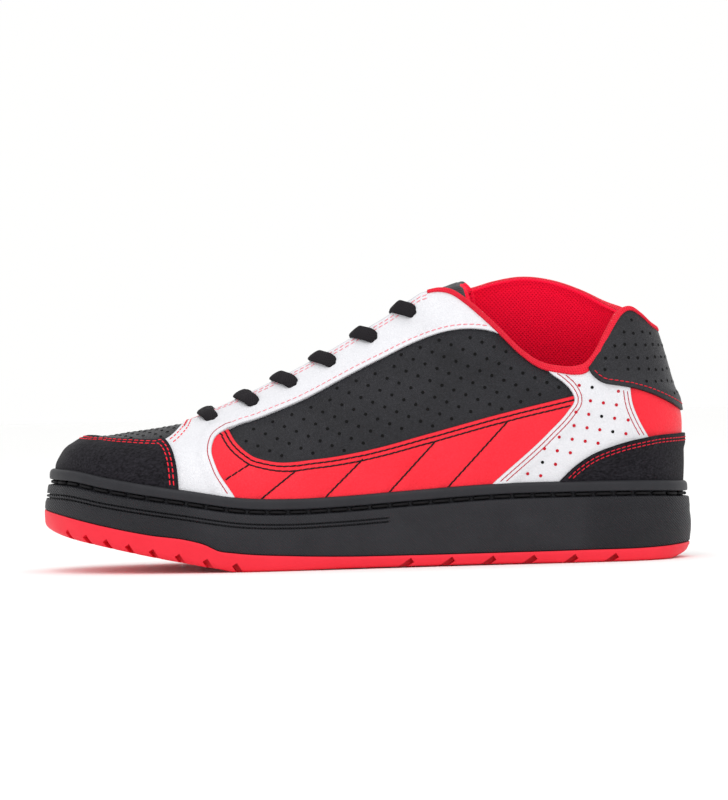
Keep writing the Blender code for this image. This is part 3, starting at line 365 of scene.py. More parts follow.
def newPiece(name, points, faces, finishNames, nodes=(), faceMaterial=None, uv=None, values=None):
    mesh = bpy.data.meshes.new(name)
    mesh.from_pydata((np.asarray(points).reshape(-1, 3) * mm).tolist(), [], [list(f) for f in faces])
    for finishName in finishNames:
        mesh.materials.append(finish[finishName])
    if faceMaterial is not None:
        mesh.polygons.foreach_set("material_index", np.asarray(faceMaterial, dtype=np.int32))
    if uv is not None:
        layer = mesh.uv_layers.new(name="map")
        corners = np.empty(len(mesh.loops), dtype=np.int32)
        mesh.loops.foreach_get("vertex_index", corners)
        layer.data.foreach_set("uv", (np.asarray(uv).reshape(-1, 2)[corners] * mm).ravel())
    for key, value in (values or {}).items():
        layer = mesh.attributes.new(key, "FLOAT", "POINT")
        layer.data.foreach_set("value", np.asarray(value, float).ravel())
    mesh.update()
    mesh.shade_smooth()
    piece = bpy.data.objects.new(name, mesh)
    bpy.context.scene.collection.objects.link(piece)
    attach(piece, "root")
    if nodes:
        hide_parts(*nodes)
    print("made", name, len(mesh.polygons), "faces")
    return piece


# shader helpers: a socket is linked, a number is set
def nodeIn(tree, kind, values={}, **settings):
    node = tree.nodes.new(kind)
    for key, value in settings.items():
        setattr(node, key, value)
    for key, value in values.items():
        if isinstance(value, bpy.types.NodeSocket):
            tree.links.new(value, node.inputs[key])
        else:
            node.inputs[key].default_value = value
    return node


def mathIn(tree, operation, a, b=0.0, c=0.0):
    return nodeIn(tree, "ShaderNodeMath", {0: a, 1: b, 2: c}, operation=operation).outputs[0]


def rangeIn(tree, value, fromLow, fromHigh, toLow, toHigh):
    values = {"Value": value, "From Min": fromLow, "From Max": fromHigh, "To Min": toLow, "To Max": toHigh}
    return nodeIn(tree, "ShaderNodeMapRange", values).outputs[0]


# mix of two colours, each a socket or red, green and blue
def mixIn(tree, factor, a, b):
    a, b = ((*colour, 1.0) if isinstance(colour, tuple) else colour for colour in (a, b))
    return nodeIn(tree, "ShaderNodeMix", {0: factor, 6: a, 7: b}, data_type="RGBA").outputs[2]


def objectPlace(tree):
    return nodeIn(tree, "ShaderNodeTexCoord").outputs["Object"]


# the two axes of a piece's own map
def mapAxes(tree):
    uv = nodeIn(tree, "ShaderNodeUVMap", uv_map="map").outputs[0]
    return nodeIn(tree, "ShaderNodeSeparateXYZ", {0: uv}).outputs


def noiseIn(tree, vector, scale, detail, roughness=0.5):
    values = {"Vector": vector, "Scale": scale, "Detail": detail, "Roughness": roughness}
    return nodeIn(tree, "ShaderNodeTexNoise", values).outputs


# sine wave along a value, pitch in waves per metre
def waveIn(tree, value, pitch):
    return mathIn(tree, "SINE", mathIn(tree, "MULTIPLY", mathIn(tree, "MULTIPLY", value, pitch), 2 * math.pi))


def newGroup(name, numbers):
    group = bpy.data.node_groups.new(name, "ShaderNodeTree")
    for key, value in numbers.items():
        group.interface.new_socket(key, in_out="INPUT", socket_type="NodeSocketFloat").default_value = value
    return group, group.nodes.new("NodeGroupInput").outputs


def closeGroup(group, results):
    for key in results:
        group.interface.new_socket(key, in_out="OUTPUT", socket_type="NodeSocketFloat")
    nodeIn(group, "NodeGroupOutput", results)
    return group


def groupIn(tree, group, values={}):
    return nodeIn(tree, "ShaderNodeGroup", values, node_tree=group).outputs


# pebbled grain with finer pores, and a slow change of tone
def makeLeatherGrain():
    tree, given = newGroup("leatherGrain", {"Scale": 900.0, "Pores": 0.4})
    place = objectPlace(tree)
    warp = noiseIn(tree, place, 260.0, 2.0)["Color"]
    bend = nodeIn(tree, "ShaderNodeVectorMath", {0: warp, 1: (0.0016, 0.0016, 0.0016)}, operation="MULTIPLY")
    bent = nodeIn(tree, "ShaderNodeVectorMath", {0: place, 1: bend.outputs[0]}, operation="ADD").outputs[0]
    cells = nodeIn(tree, "ShaderNodeTexVoronoi", {"Vector": bent, "Scale": given["Scale"]},
                   feature="DISTANCE_TO_EDGE").outputs["Distance"]
    pebble = rangeIn(tree, cells, 0.0, 0.22, 0.0, 1.0)
    fine = noiseIn(tree, place, 2600.0, 3.0)["Fac"]
    height = mathIn(tree, "MULTIPLY_ADD", fine, given["Pores"], pebble)
    slow = noiseIn(tree, place, 42.0, 4.0, 0.6)["Fac"]
    speck = noiseIn(tree, place, 1100.0, 2.0)["Fac"]
    tone = mathIn(tree, "MULTIPLY_ADD", speck, 0.55, mathIn(tree, "MULTIPLY", slow, 0.45))
    return closeGroup(tree, {"Height": height, "Tone": rangeIn(tree, tone, 0.3, 0.7, 0.0, 1.0)})


# short brushed fibres, with patches that lie another way
def makeSuedeNap():
    tree, given = newGroup("suedeNap", {"Scale": 1100.0})
    place = objectPlace(tree)
    pull = {"Vector": place, "Scale": (0.45, 1.0, 1.0), "Rotation": (0.0, 0.5, 0.0)}
    pulled = nodeIn(tree, "ShaderNodeMapping", pull).outputs[0]
    fibre = noiseIn(tree, pulled, given["Scale"], 4.0, 0.7)["Fac"]
    patch = noiseIn(tree, place, 120.0, 3.0)["Fac"]
    tone = mathIn(tree, "MULTIPLY_ADD", fibre, 0.86, mathIn(tree, "MULTIPLY", patch, 0.14))
    return closeGroup(tree, {"Height": fibre, "Tone": rangeIn(tree, tone, 0.32, 0.68, 0.0, 1.0)})


# yarn that runs two ways over the piece's own map, pitches in threads per metre
def makeYarnWeave():
    tree, given = newGroup("yarnWeave", {"Along": 900.0, "Across": 900.0, "Slant": 0.0})
    uv = mapAxes(tree)
    slanted = mathIn(tree, "MULTIPLY_ADD", uv[1], given["Slant"], uv[0])
    warp, weft = waveIn(tree, slanted, given["Along"]), waveIn(tree, uv[1], given["Across"])
    height = rangeIn(tree, mathIn(tree, "MULTIPLY", warp, weft), -1.0, 1.0, 0.0, 1.0)
    slow = noiseIn(tree, objectPlace(tree), 180.0, 3.0)["Fac"]
    tone = mathIn(tree, "MULTIPLY_ADD", height, 0.5, mathIn(tree, "MULTIPLY", slow, 0.5))
    return closeGroup(tree, {"Height": height, "Tone": tone})


# open knit: round pits in staggered rows over the piece's own map
def makeKnitMesh():
    tree, given = newGroup("knitMesh", {"Scale": 700.0})
    uv = nodeIn(tree, "ShaderNodeUVMap", uv_map="map").outputs[0]
    turned = nodeIn(tree, "ShaderNodeMapping", {"Vector": uv, "Rotation": (0.0, 0.0, 0.72)}).outputs[0]
    dots = nodeIn(tree, "ShaderNodeTexVoronoi", {"Vector": turned, "Scale": given["Scale"], "Randomness": 0.0},
                  voronoi_dimensions="2D").outputs["Distance"]
    height = rangeIn(tree, dots, 0.12, 0.42, 0.0, 1.0)
    return closeGroup(tree, {"Height": height, "Pit": mathIn(tree, "SUBTRACT", 1.0, height)})


# crossing strands of a braided cord over the piece's own map
def makeBraid():
    tree, given = newGroup("braid", {"Pitch": 420.0})
    uv = mapAxes(tree)
    strands = []
    for slant in (1.4, -1.4):
        crossing = mathIn(tree, "MULTIPLY_ADD", uv[1], slant, uv[0])
        strands.append(waveIn(tree, crossing, given["Pitch"]))
    height = rangeIn(tree, mathIn(tree, "MAXIMUM", *strands), -1.0, 1.0, 0.0, 1.0)
    return closeGroup(tree, {"Height": height})


# fine slanted lines moulded in rubber, with a slightly uneven skin
def makeRubberSkin():
    tree, given = newGroup("rubberSkin", {"Lines": 820.0})
    place = objectPlace(tree)
    axes = nodeIn(tree, "ShaderNodeSeparateXYZ", {0: place}).outputs
    slanted = mathIn(tree, "ADD", axes[0], mathIn(tree, "MULTIPLY", axes[2], 0.9))
    hatch = rangeIn(tree, waveIn(tree, slanted, given["Lines"]), -1.0, 1.0, 0.0, 1.0)
    skin = noiseIn(tree, place, 1500.0, 3.0)["Fac"]
    slow = noiseIn(tree, place, 55.0, 5.0, 0.62)["Fac"]
    return closeGroup(tree, {"Height": skin, "Hatch": hatch, "Tone": slow})


# 1 close to a panel's cut edge, 0 further in, a little uneven
def makeEdgeBand():
    tree, given = newGroup("edgeBand", {"Width": 1.2})
    distance = nodeIn(tree, "ShaderNodeAttribute", attribute_name="edge").outputs["Fac"]
    rough = noiseIn(tree, objectPlace(tree), 500.0, 3.0)["Fac"]
    uneven = mathIn(tree, "MULTIPLY", given["Width"], mathIn(tree, "ADD", rough, 0.5))
    return closeGroup(tree, {"Mask": rangeIn(tree, distance, 0.0, uneven, 1.0, 0.0)})


leatherGrain = makeLeatherGrain()
suedeNap = makeSuedeNap()
yarnWeave = makeYarnWeave()
knitMesh = makeKnitMesh()
braid = makeBraid()
rubberSkin = makeRubberSkin()
edgeBand = makeEdgeBand()


def newMaterial(name, roughness, uniform={}):
    material = bpy.data.materials.new(name)
    material.use_nodes = True
    shader = material.node_tree.nodes["Principled BSDF"]
    shader.inputs["Roughness"].default_value = roughness
    for key, value in uniform.items():
        shader.inputs[key].default_value = value
    return material, material.node_tree, shader


# links a shader's colour, bump and, where it changes, roughness
def surfaceInto(tree, shader, colour, height, strength, distance, roughness=None):
    tree.links.new(colour, shader.inputs["Base Color"])
    if roughness is not None:
        tree.links.new(roughness, shader.inputs["Roughness"])
    bump = nodeIn(tree, "ShaderNodeBump", {"Height": height, "Strength": strength, "Distance": distance})
    tree.links.new(bump.outputs[0], shader.inputs["Normal"])


# colour between two tones, with a third along the cut edges
def leatherMaterial(name, dark, light, edgeTone, edgeWidth, grainScale, depth, roughness, uniform):
    material, tree, shader = newMaterial(name, roughness[0], uniform)
    grain = groupIn(tree, leatherGrain, {"Scale": grainScale})
    band = groupIn(tree, edgeBand, {"Width": edgeWidth})["Mask"]
    colour = mixIn(tree, band, mixIn(tree, grain["Tone"], dark, light), edgeTone)
    gloss = rangeIn(tree, grain["Tone"], 0.3, 0.7, *roughness)
    surfaceInto(tree, shader, colour, grain["Height"], 0.55, depth, gloss)
    return material


def suedeMaterial():
    uniform = {"Sheen Weight": 0.06, "Sheen Roughness": 0.5, "Specular IOR Level": 0.08}
    material, tree, shader = newMaterial("blackSuede", 0.95, uniform)
    nap = groupIn(tree, suedeNap)
    colour = mixIn(tree, nap["Tone"], (0.0018, 0.0016, 0.0024), (0.025, 0.023, 0.029))
    band = groupIn(tree, edgeBand, {"Width": 0.7})["Mask"]
    colour = mixIn(tree, mathIn(tree, "MULTIPLY", band, 0.4), colour, (0.006, 0.006, 0.007))
    gloss = rangeIn(tree, nap["Tone"], 0.2, 0.9, 1.0, 0.86)
    surfaceInto(tree, shader, colour, nap["Height"], 0.7, 0.0004, gloss)
    return material


def clothMaterial(name, dark, light, weave, depth, roughness, uniform):
    material, tree, shader = newMaterial(name, roughness, uniform)
    yarn = groupIn(tree, yarnWeave, weave)
    gloss = rangeIn(tree, yarn["Height"], 0.0, 1.0, roughness + 0.08, roughness - 0.08)
    surfaceInto(tree, shader, mixIn(tree, yarn["Tone"], dark, light), yarn["Height"], 0.8, depth, gloss)
    return material


def liningMaterial():
    uniform = {"Specular IOR Level": 0.08, "Sheen Weight": 0.12, "Sheen Tint": (1.0, 0.3, 0.36, 1.0)}
    material, tree, shader = newMaterial("redLining", 0.8, uniform)
    knit = groupIn(tree, knitMesh, {"Scale": 760.0})
    colour = mixIn(tree, knit["Pit"], (1.0, 0.004, 0.040), (0.82, 0.0, 0.022))
    gloss = rangeIn(tree, knit["Pit"], 0.0, 1.0, 0.7, 0.95)
    surfaceInto(tree, shader, colour, knit["Height"], 0.5, 0.0004, gloss)
    return material


def rubberMaterial(name, dark, light, hatchDepth, roughness):
    material, tree, shader = newMaterial(name, roughness[0], {"Specular IOR Level": 0.24})
    skin = groupIn(tree, rubberSkin)
    height = mathIn(tree, "MULTIPLY", skin["Height"], 0.12)
    if hatchDepth:
        mask = nodeIn(tree, "ShaderNodeAttribute", attribute_name="hatch").outputs["Fac"]
        height = mathIn(tree, "MULTIPLY_ADD", skin["Hatch"], mathIn(tree, "MULTIPLY", mask, hatchDepth), height)
    gloss = rangeIn(tree, skin["Tone"], 0.3, 0.7, *roughness)
    surfaceInto(tree, shader, mixIn(tree, skin["Tone"], dark, light), height, 0.8, 0.0005, gloss)
    return material


def cordMaterial(name, dark, light, pitch, roughness):
    material, tree, shader = newMaterial(name, roughness, {"Specular IOR Level": 0.15})
    height = groupIn(tree, braid, {"Pitch": pitch})["Height"]
    gloss = rangeIn(tree, height, 0.0, 1.0, roughness + 0.1, roughness - 0.1)
    surfaceInto(tree, shader, mixIn(tree, height, dark, light), height, 0.7, 0.0003, gloss)
    return material


# sewing thread and punched holes: colour changes over each small form; the holes' dark colour is painted shade
def threadMaterial(name, dark, light, roughness):
    material, tree, shader = newMaterial(name, roughness, {"Specular IOR Level": 0.15})
    twist = noiseIn(tree, objectPlace(tree), 1400.0, 2.0)["Fac"]
    surfaceInto(tree, shader, mixIn(tree, twist, dark, light), twist, 0.5, 0.0002)
    return material


# Leather rows: dark, light and edge tone, edge width, grain scale and depth, roughness range, other values
leathers = {
    "blackLeather": ((0.0014, 0.0014, 0.0032), (0.0105, 0.0105, 0.0155), (0.003, 0.003, 0.0045),
                     0.8, 1300.0, 0.00026, (0.56, 0.44), {"Specular IOR Level": 0.34}),
    # a lighter copy of the black leather for the heel tab: painted light
    "tabLeather": ((0.0028, 0.0028, 0.0046), (0.0165, 0.0165, 0.0215), (0.004, 0.004, 0.0055),
                   0.8, 1300.0, 0.00026, (0.54, 0.42), {"Specular IOR Level": 0.36}),
    "whiteLeather": ((0.665, 0.665, 0.70), (0.75, 0.75, 0.78), (0.58, 0.575, 0.605),
                     0.5, 1100.0, 0.00012, (0.42, 0.34), {"Coat Weight": 0.08}),
    "redLeather": ((0.80, 0.013, 0.028), (0.92, 0.021, 0.042), (0.62, 0.008, 0.018),
                   0.5, 900.0, 0.00014, (0.50, 0.42), {"Specular IOR Level": 0.22}),
}
# Cloth rows: dark, light, yarn, depth, roughness, other values
cloths = {
    "redWebbing": ((0.64, 0.004, 0.016), (1.0, 0.034, 0.072), {"Along": 820.0, "Across": 410.0, "Slant": 0.8},
                   0.0006, 0.75, {"Specular IOR Level": 0.15}),
    "tongueCloth": ((0.012, 0.012, 0.014), (0.055, 0.055, 0.060), {"Along": 900.0, "Across": 900.0, "Slant": 0.0},
                    0.0003, 0.8, {"Sheen Weight": 0.1}),
    "footbedCloth": ((0.016, 0.016, 0.018), (0.060, 0.058, 0.060), {"Along": 700.0, "Across": 700.0, "Slant": 0.5},
                     0.0003, 0.88, {}),
}
# Cord rows: dark, light, strands per metre, roughness
cords = {"laceCord": ((0.004, 0.0036, 0.0044), (0.019, 0.0165, 0.0195), 900.0, 0.85)}
# Rubber rows: dark, light, depth of the hatching, roughness range
rubbers = {
    "blackRubber": ((0.013, 0.013, 0.0160), (0.025, 0.025, 0.030), 1.7, (0.60, 0.48)),
    "redRubber": ((0.76, 0.016, 0.034), (0.88, 0.026, 0.050), 0.0, (0.55, 0.45)),
}
# Thread and hole rows: dark, light, roughness. The hole rows are painted shade: black in the holes, and the red
# leather below the saddle's holes darkened by painted shade
threads = {
    "redThread": ((0.74, 0.008, 0.026), (1.0, 0.03, 0.055), 0.6),
    "paleThread": ((0.76, 0.15, 0.19), (0.90, 0.36, 0.42), 0.6),
    "counterThread": ((0.46, 0.008, 0.022), (0.80, 0.02, 0.045), 0.6),
    "darkRedThread": ((0.30, 0.004, 0.014), (0.62, 0.012, 0.035), 0.6),
    "blackThread": ((0.004, 0.004, 0.0045), (0.014, 0.013, 0.015), 0.7),
    "blackHole": ((0.002, 0.002, 0.002), (0.006, 0.006, 0.006), 0.9),
    "redHole": ((0.36, 0.004, 0.012), (0.62, 0.008, 0.026), 0.8),
}
finish = {"blackSuede": suedeMaterial(), "redLining": liningMaterial()}
for make, table in ((leatherMaterial, leathers), (clothMaterial, cloths), (cordMaterial, cords),
                    (rubberMaterial, rubbers), (threadMaterial, threads)):
    finish.update({name: make(name, *row) for name, row in table.items()})
print("finishes made:", len(finish))

# panel outlines seen from the side, x z. A third entry marks a corner, the rest join in a smooth curve
farFront, farBack, underRim, overAll = -170.0, 170.0, 20.0, 150.0
outlines = {
    "toeCap": [
        (farFront, overAll, "corner"), (-92.4, overAll, "corner"), (-92.4, 59.5, "corner"), (-90.9, 58.3),
        (-88.9, 55.6), (-87.5, 52.4), (-86.3, 47.8), (-85.6, 42.8), (-85.3, 38.5, "corner"),
        (-83.5, underRim, "corner"), (farFront, underRim, "corner"),
    ],
    "eyestay": [
        (-93.6, underRim, "corner"), (-93.6, 59.2, "corner"), (-90.1, 61.2), (-88.2, 62.8), (-86.5, 64.7),
        (-85.0, 66.5), (-83.6, 70.0, "corner"), (-83.6, overAll, "corner"), (46.0, overAll, "corner"),
        (68.0, 102.0, "corner"), (60.0, 106.0), (50.5, 107.8),
        (39.0, 107.1), (29.8, 104.8), (6.7, 94.4), (-11.7, 85.3), (-30.1, 76.2), (-48.5, 69.3), (-62.7, 63.8),
        (-69.0, 59.6), (-70.4, 55.0), (-68.4, 47.5), (-60.0, 34.0, "corner"), (-52.0, underRim, "corner"),
    ],
    "sidePanel": [
        (-78.0, underRim, "corner"), (-78.0, 66.0, "corner"), (-64.0, 66.0, "corner"), (-58.6, 57.3), (-52.0, 52.0),
        (-43.0, 49.5), (-21.5, 50.1), (1.2, 53.6), (28.5, 60.2), (60.5, 68.3), (98.0, 76.6, "corner"),
        (98.0, underRim, "corner"),
    ],
    "saddle": [
        (37.0, underRim, "corner"), (58.3, 38.2, "corner"), (83.0, 59.3), (92.4, 69.1), (95.4, 73.8), (94.1, 78.2),
        (90.0, 82.6), (84.6, 86.8), (82.4, 90.4), (85.0, 93.2), (91.0, 94.0), (104.0, 93.5, "corner"),
        (120.6, 84.0, "corner"), (122.0, 71.1),
        (124.5, 64.2), (129.5, 54.5, "corner"), (129.5, underRim, "corner"),
    ],
    "heelPanel": [
        (112.0, 92.0, "corner"), (farBack, 92.0, "corner"), (farBack, 46.0, "corner"), (112.0, 46.0, "corner"),
    ],
    "heelCounter": [
        (72.0, underRim, "corner"), (87.5, 37.4, "corner"), (94.0, 43.4), (101.5, 48.4), (113.0, 52.8),
        (129.2, 56.5), (149.0, 58.0, "corner"), (farBack, 58.4, "corner"), (farBack, underRim, "corner"),
    ],
    "heelTab": [
        (102.6, overAll, "corner"), (101.4, 90.0, "corner"), (103.8, 85.4), (108.5, 81.6), (116.0, 79.9),
        (125.3, 78.0), (137.0, 73.0), (149.0, 64.6, "corner"), (farBack, 56.8, "corner"),
        (farBack, overAll, "corner"),
    ],
}
# window of the toe cap seen from above: a rounded front, then x and half width further back
vampWindow = {
    "front": -129.5,
    "centreY": 3.0,
    "lowest": 46.0,
    "sides": [
        (-120.4, 19.4), (-115.7, 24.1), (-111.6, 27.2), (-107.0, 29.6), (-102.5, 31.7), (-98.4, 33.1),
        (-95.5, 34.1), (-92.5, 35.2), (-84.0, 39.0),
    ],
}


def smoothOutline(rows, spacing=1.5):
    isCorner = [len(row) == 3 for row in rows]
    first = isCorner.index(True)
    rows, isCorner = rows[first:] + rows[:first], isCorner[first:] + isCorner[:first]
    ends = [i for i, corner in enumerate(isCorner) if corner] + [len(rows)]
    line = []
    for start, end in zip(ends[:-1], ends[1:]):
        run = np.array([row[:2] for row in [*rows, rows[0]][start:end + 1]])
        keys = runAlong(run)
        steps = max(1, int(keys[-1] / spacing)) if len(run) > 2 else 1
        line.append(curveThrough(keys, run, np.linspace(0.0, keys[-1], steps + 1)[:-1]))
    return np.vstack(line)


# distance to a closed outline, negative inside
def signedDistance(outline, points):
    flat = points.reshape(-1, 2)
    nearest = np.full(len(flat), 1e9)
    inside = np.zeros(len(flat), bool)
    for (x1, y1), (x2, y2) in zip(outline, np.roll(outline, -1, axis=0)):
        nearest = np.minimum(nearest, distanceToLine(flat, (x1, y1), (x2, y2)))
        crosses = (y1 > flat[:, 1]) != (y2 > flat[:, 1])
        at = x1 + (flat[:, 1] - y1) / (y2 - y1 if y2 != y1 else 1e-9) * (x2 - x1)
        inside ^= crosses & (flat[:, 0] < at)
    return np.where(inside, -nearest, nearest).reshape(points.shape[:-1])


def vampOutline():
    turn = np.linspace(-math.pi / 2, math.pi / 2, 60)
    firstX, firstWidth = vampWindow["sides"][0]
    x = vampWindow["front"] + (firstX - vampWindow["front"]) * (1 - np.cos(turn))
    front = np.column_stack([x, vampWindow["centreY"] + firstWidth * np.sin(turn)])
    backX = np.linspace(firstX, vampWindow["sides"][-1][0], 40)[1:]
    width = curveThrough(*zip(*vampWindow["sides"]), backX)
    inner = np.column_stack([backX, vampWindow["centreY"] + width])
    outer = np.column_stack([backX, vampWindow["centreY"] - width])
    return np.vstack([front, inner, outer[::-1]])


farOff = 60.0  # stands for a place far outside a panel
fields = {name: signedDistance(smoothOutline(rows), sideView) for name, rows in outlines.items()}
vampField = signedDistance(vampOutline(), planView)
vampField = np.where(sideView[..., 1] > vampWindow["lowest"], vampField, farOff)
fields["toeCap"] = np.maximum(fields["toeCap"], -vampField)
for panelName in ("sidePanel", "saddle"):
    for side, awayFrom in (("Lateral", onInside), ("Medial", ~onInside)):
        fields[panelName + side] = np.where(awayFrom[:, None], farOff, fields[panelName])

# stitched quilting of the side panels, top x z to bottom x z
quilting = {
    "lines": [((-52.4, 48.7), (-69.5, 38.4)), ((-30.7, 46.1), (-50.4, 31.1)), ((-0.3, 50.9), (-22.4, 29.8)),
              ((33.0, 58.3), (6.4, 30.9)), ((65.8, 66.1), (32.4, 31.6))],
    "width": 2.2,
    "depth": 0.55,
    "puff": 0.5,
    "puffRun": 6.0,
}

# panels: outline, own thickness, panels they lie over, panels that lie over them
panels = {
    "sidePanelLateral": dict(node="side_panel_lateral", thick=0.9, lower=(), upper=("eyestay", "saddle"),
                             finish="redLeather", slot="red_leather"),
    "sidePanelMedial": dict(node="side_panel_medial", thick=0.9, lower=(), upper=("eyestay", "saddle"),
                            finish="redLeather", slot="red_leather"),
    "heelPanel": dict(node="heel_panel", thick=0.8, lower=(), upper=("saddle", "heelTab", "heelCounter"),
                      finish="redLeather", slot="red_leather"),
    "eyestay": dict(node="eyestay", thick=1.2, lower=("sidePanel",), upper=("toeCap",),
                    finish="whiteLeather", slot="white_leather"),
    "saddleLateral": dict(node="saddle_lateral", thick=1.2, lower=("sidePanel", "heelPanel"),
                          upper=("heelTab", "heelCounter"), finish="whiteLeather", slot="white_leather"),
    "saddleMedial": dict(node="saddle_medial", thick=1.2, lower=("sidePanel", "heelPanel"),
                         upper=("heelTab", "heelCounter"), finish="whiteLeather", slot="white_leather"),
    "toeCap": dict(node="toe_cap", thick=1.5, lower=("eyestay",), upper=(),
                   finish="blackSuede", slot="black_suede"),
    "heelCounter": dict(node="heel_counter", thick=1.6, lower=("saddle", "heelPanel"), upper=(),
                        finish="blackSuede", slot="black_suede"),
    # the heel tab takes a lighter copy of the black leather, painted light
    "heelTab": dict(node="heel_tab", thick=1.3, lower=("saddle", "heelPanel"), upper=(),
                    finish="tabLeather", slot="black_leather"),
}
panelEdge = {"roundness": 0.4, "turns": (0.3, 0.62, 1.0), "tuck": 1.6, "climb": 3.5, "climbFrom": 8.0,
             "climbRun": 4.0, "climbSoftness": 1.2, "sink": 0.4}


def thicknessOf(name):
    return panels[name if name in panels else name + "Lateral"]["thick"]


# height of a panel's face: its own thickness, more where it climbs over the panels below
def panelHeight(name):
    height = np.full(shares.shape, panels[name]["thick"])
    nearEdge = softStep((fields[name] + panelEdge["climbFrom"]) / panelEdge["climbRun"])
    for below in panels[name]["lower"]:
        over = (panelEdge["climb"] - fields[below]) / panelEdge["climb"]
        height += nearEdge * thicknessOf(below) * softStep(over / panelEdge["climbSoftness"])
    if name.startswith("sidePanel"):
        for start, end in quilting["lines"]:
            away = distanceToLine(sideView, start, end)
            height -= quilting["depth"] * np.exp(-(away / quilting["width"]) ** 2)
        height += quilting["puff"] * softStep(-fields["sidePanel"] / quilting["puffRun"])
    return height


def panelField(name):
    field = fields[name].copy()
    for above in panels[name]["upper"]:
        field = np.maximum(field, -(fields[above] + panelEdge["tuck"]))
    return field


# keeps the part of the grid where field < 0. New points are mixes of two grid points
def cutGrid(field):
    corners = gridFaces(columns, rowCount)
    flat = field.ravel()
    kept = flat[corners] < 0
    used = np.unique(corners[kept])
    place = np.full(flat.size, -1)
    place[used] = np.arange(len(used))
    first, second, share = used.tolist(), used.tolist(), [0.0] * len(used)
    faces = place[corners[kept.all(axis=1)]].tolist()
    cuts = {}
    for cell in corners[kept.any(axis=1) & ~kept.all(axis=1)].tolist():
        ring = []
        for p, q in zip(cell, cell[1:] + cell[:1]):
            if flat[p] < 0:
                ring.append(int(place[p]))
            if (flat[p] < 0) != (flat[q] < 0):
                key = (min(p, q), max(p, q))
                if key not in cuts:
                    cuts[key] = len(first)
                    first.append(key[0])
                    second.append(key[1])
                    share.append(flat[key[0]] / (flat[key[0]] - flat[key[1]]))
                ring.append(cuts[key])
        faces.append(ring)
    return (np.array(first), np.array(second), np.array(share)), faces


def mixed(samples, values):
    first, second, share = samples
    flat = values.reshape(columns * rowCount, -1)
    result = flat[first] + (flat[second] - flat[first]) * share[:, None]
    return result if values.ndim > 2 else result[:, 0]


def borderEdges(faces):
    forward = set()
    for face in faces:
        forward.update(zip(face, face[1:] + face[:1]))
    return [(p, q) for p, q in forward if (q, p) not in forward]


# a sewn panel: face, rounded cut edge all round, and a back that lies in the upper
def makePanel(name):
    settings = panels[name]
    field = panelField(name)
    radius = panelEdge["roundness"]
    samples, faces = cutGrid(field + radius)
    base = mixed(samples, basePoints)
    normal = unit(mixed(samples, baseNormals))
    height = mixed(samples, panelHeight(name))
    count = len(base)
    edges = sorted(borderEdges(faces))
    after, before = dict(edges), {q: p for p, q in edges}
    border = sorted(after)
    position = {p: k for k, p in enumerate(border)}
    nextPoint = base[[after[p] for p in border]]
    lastPoint = base[[before[p] for p in border]]
    away = unit(np.cross(nextPoint - lastPoint, normal[border]))
    top = base + normal * height[:, None]
    loops = []
    for turn in panelEdge["turns"]:
        angle = turn * math.pi / 2
        drop = radius * (1 - math.cos(angle))
        loops.append(top[border] + away * radius * math.sin(angle) - normal[border] * drop)
    loops.append(base[border] + away * radius - normal[border] * panelEdge["sink"])
    points = np.vstack([top, *loops, base - normal * panelEdge["sink"]])
    backStart = count + len(loops) * len(border)
    levels = [border] + [[count + k * len(border) + i for i in range(len(border))] for k in range(len(loops))]
    levels.append([backStart + p for p in border])
    allFaces = list(faces)
    for low, high in zip(levels[:-1], levels[1:]):
        for p, q in edges:
            i, j = position[p], position[q]
            allFaces.append([low[j], low[i], high[i], high[j]])
    allFaces += [[backStart + p for p in reversed(face)] for face in faces]
    uv = mixed(samples, baseMap)
    inner = np.clip(-mixed(samples, np.maximum(field, -topRun)), 0.0, 20.0)
    edge = np.concatenate([inner, np.zeros(len(loops) * len(border)), inner])
    uv = np.vstack([uv, *[uv[border]] * len(loops), uv])
    return newPiece(name + "Piece", points, allFaces, [settings["finish"]],
                    [settings["node"]], uv=uv, values={"edge": edge})


# the upper: one hollow wall with a rolled top, leather outside and knit lining inside
def makeUpper():
    puff = lastShape["liningPuff"] * softStep((sideView[..., 0] - lastShape["liningFrom"]) / lastShape["liningRun"])
    puff = puff * np.sin(np.clip(topRun / lastShape["liningHeight"], 0.0, 1.0) * math.pi)
    inner = basePoints - baseNormals * (wallThickness + puff)[..., None]
    inner[:, :3] = basePoints[:, :3] - outward[:, None, :] * lastShape["wall"]
    innerFoot = foot - outward * lastShape["wall"]
    outerTop, innerTop = basePoints[:, -1], inner[:, -1]
    middle, spread = (outerTop + innerTop) / 2, (outerTop - innerTop) / 2
    rollHeight = np.linalg.norm(spread, axis=1) * lastShape["rollHeight"]
    rollHeight = np.where(tapeClimb > 0.05, np.minimum(rollHeight, tapeClimb / 2), rollHeight)
    rolled = unit(basePoints[:, -1] - basePoints[:, -2]) * rollHeight[:, None]
    turns = np.linspace(0, math.pi, lastShape["rollSteps"])[1:-1]
    roll = [middle + spread * math.cos(turn) + rolled * math.sin(turn) for turn in turns]
    innerRows = [*range(rowCount - 1, 2, -3), 2, 1, 0]  # the lining needs fewer rows than the face
    rings = [foot, *np.moveaxis(basePoints, 1, 0), *roll, *np.moveaxis(inner[:, innerRows], 1, 0), innerFoot]
    points = np.stack(rings, axis=1)
    faces = gridFaces(columns, len(rings), closeHigh=True)
    ringOf = np.tile(np.arange(len(rings)), columns)
    liningStart = rowCount + len(roll) - 1
    lining = (ringOf >= liningStart).astype(int)
    uv = np.zeros((columns, len(rings), 2))
    uv[..., 0] = planRun[:, None]
    uv[..., 1] = runAlong(points)
    uv[:, liningStart:, 1] = points[:, liningStart:, 2]
    edge = np.full((columns, len(rings)), 9.0)
    return newPiece("upperWall", points, faces, ["blackLeather", "redLining"], ["upper"],
                    faceMaterial=lining, uv=uv, values={"edge": edge})


makeUpper()
for panelName in panels:
    makePanel(panelName)

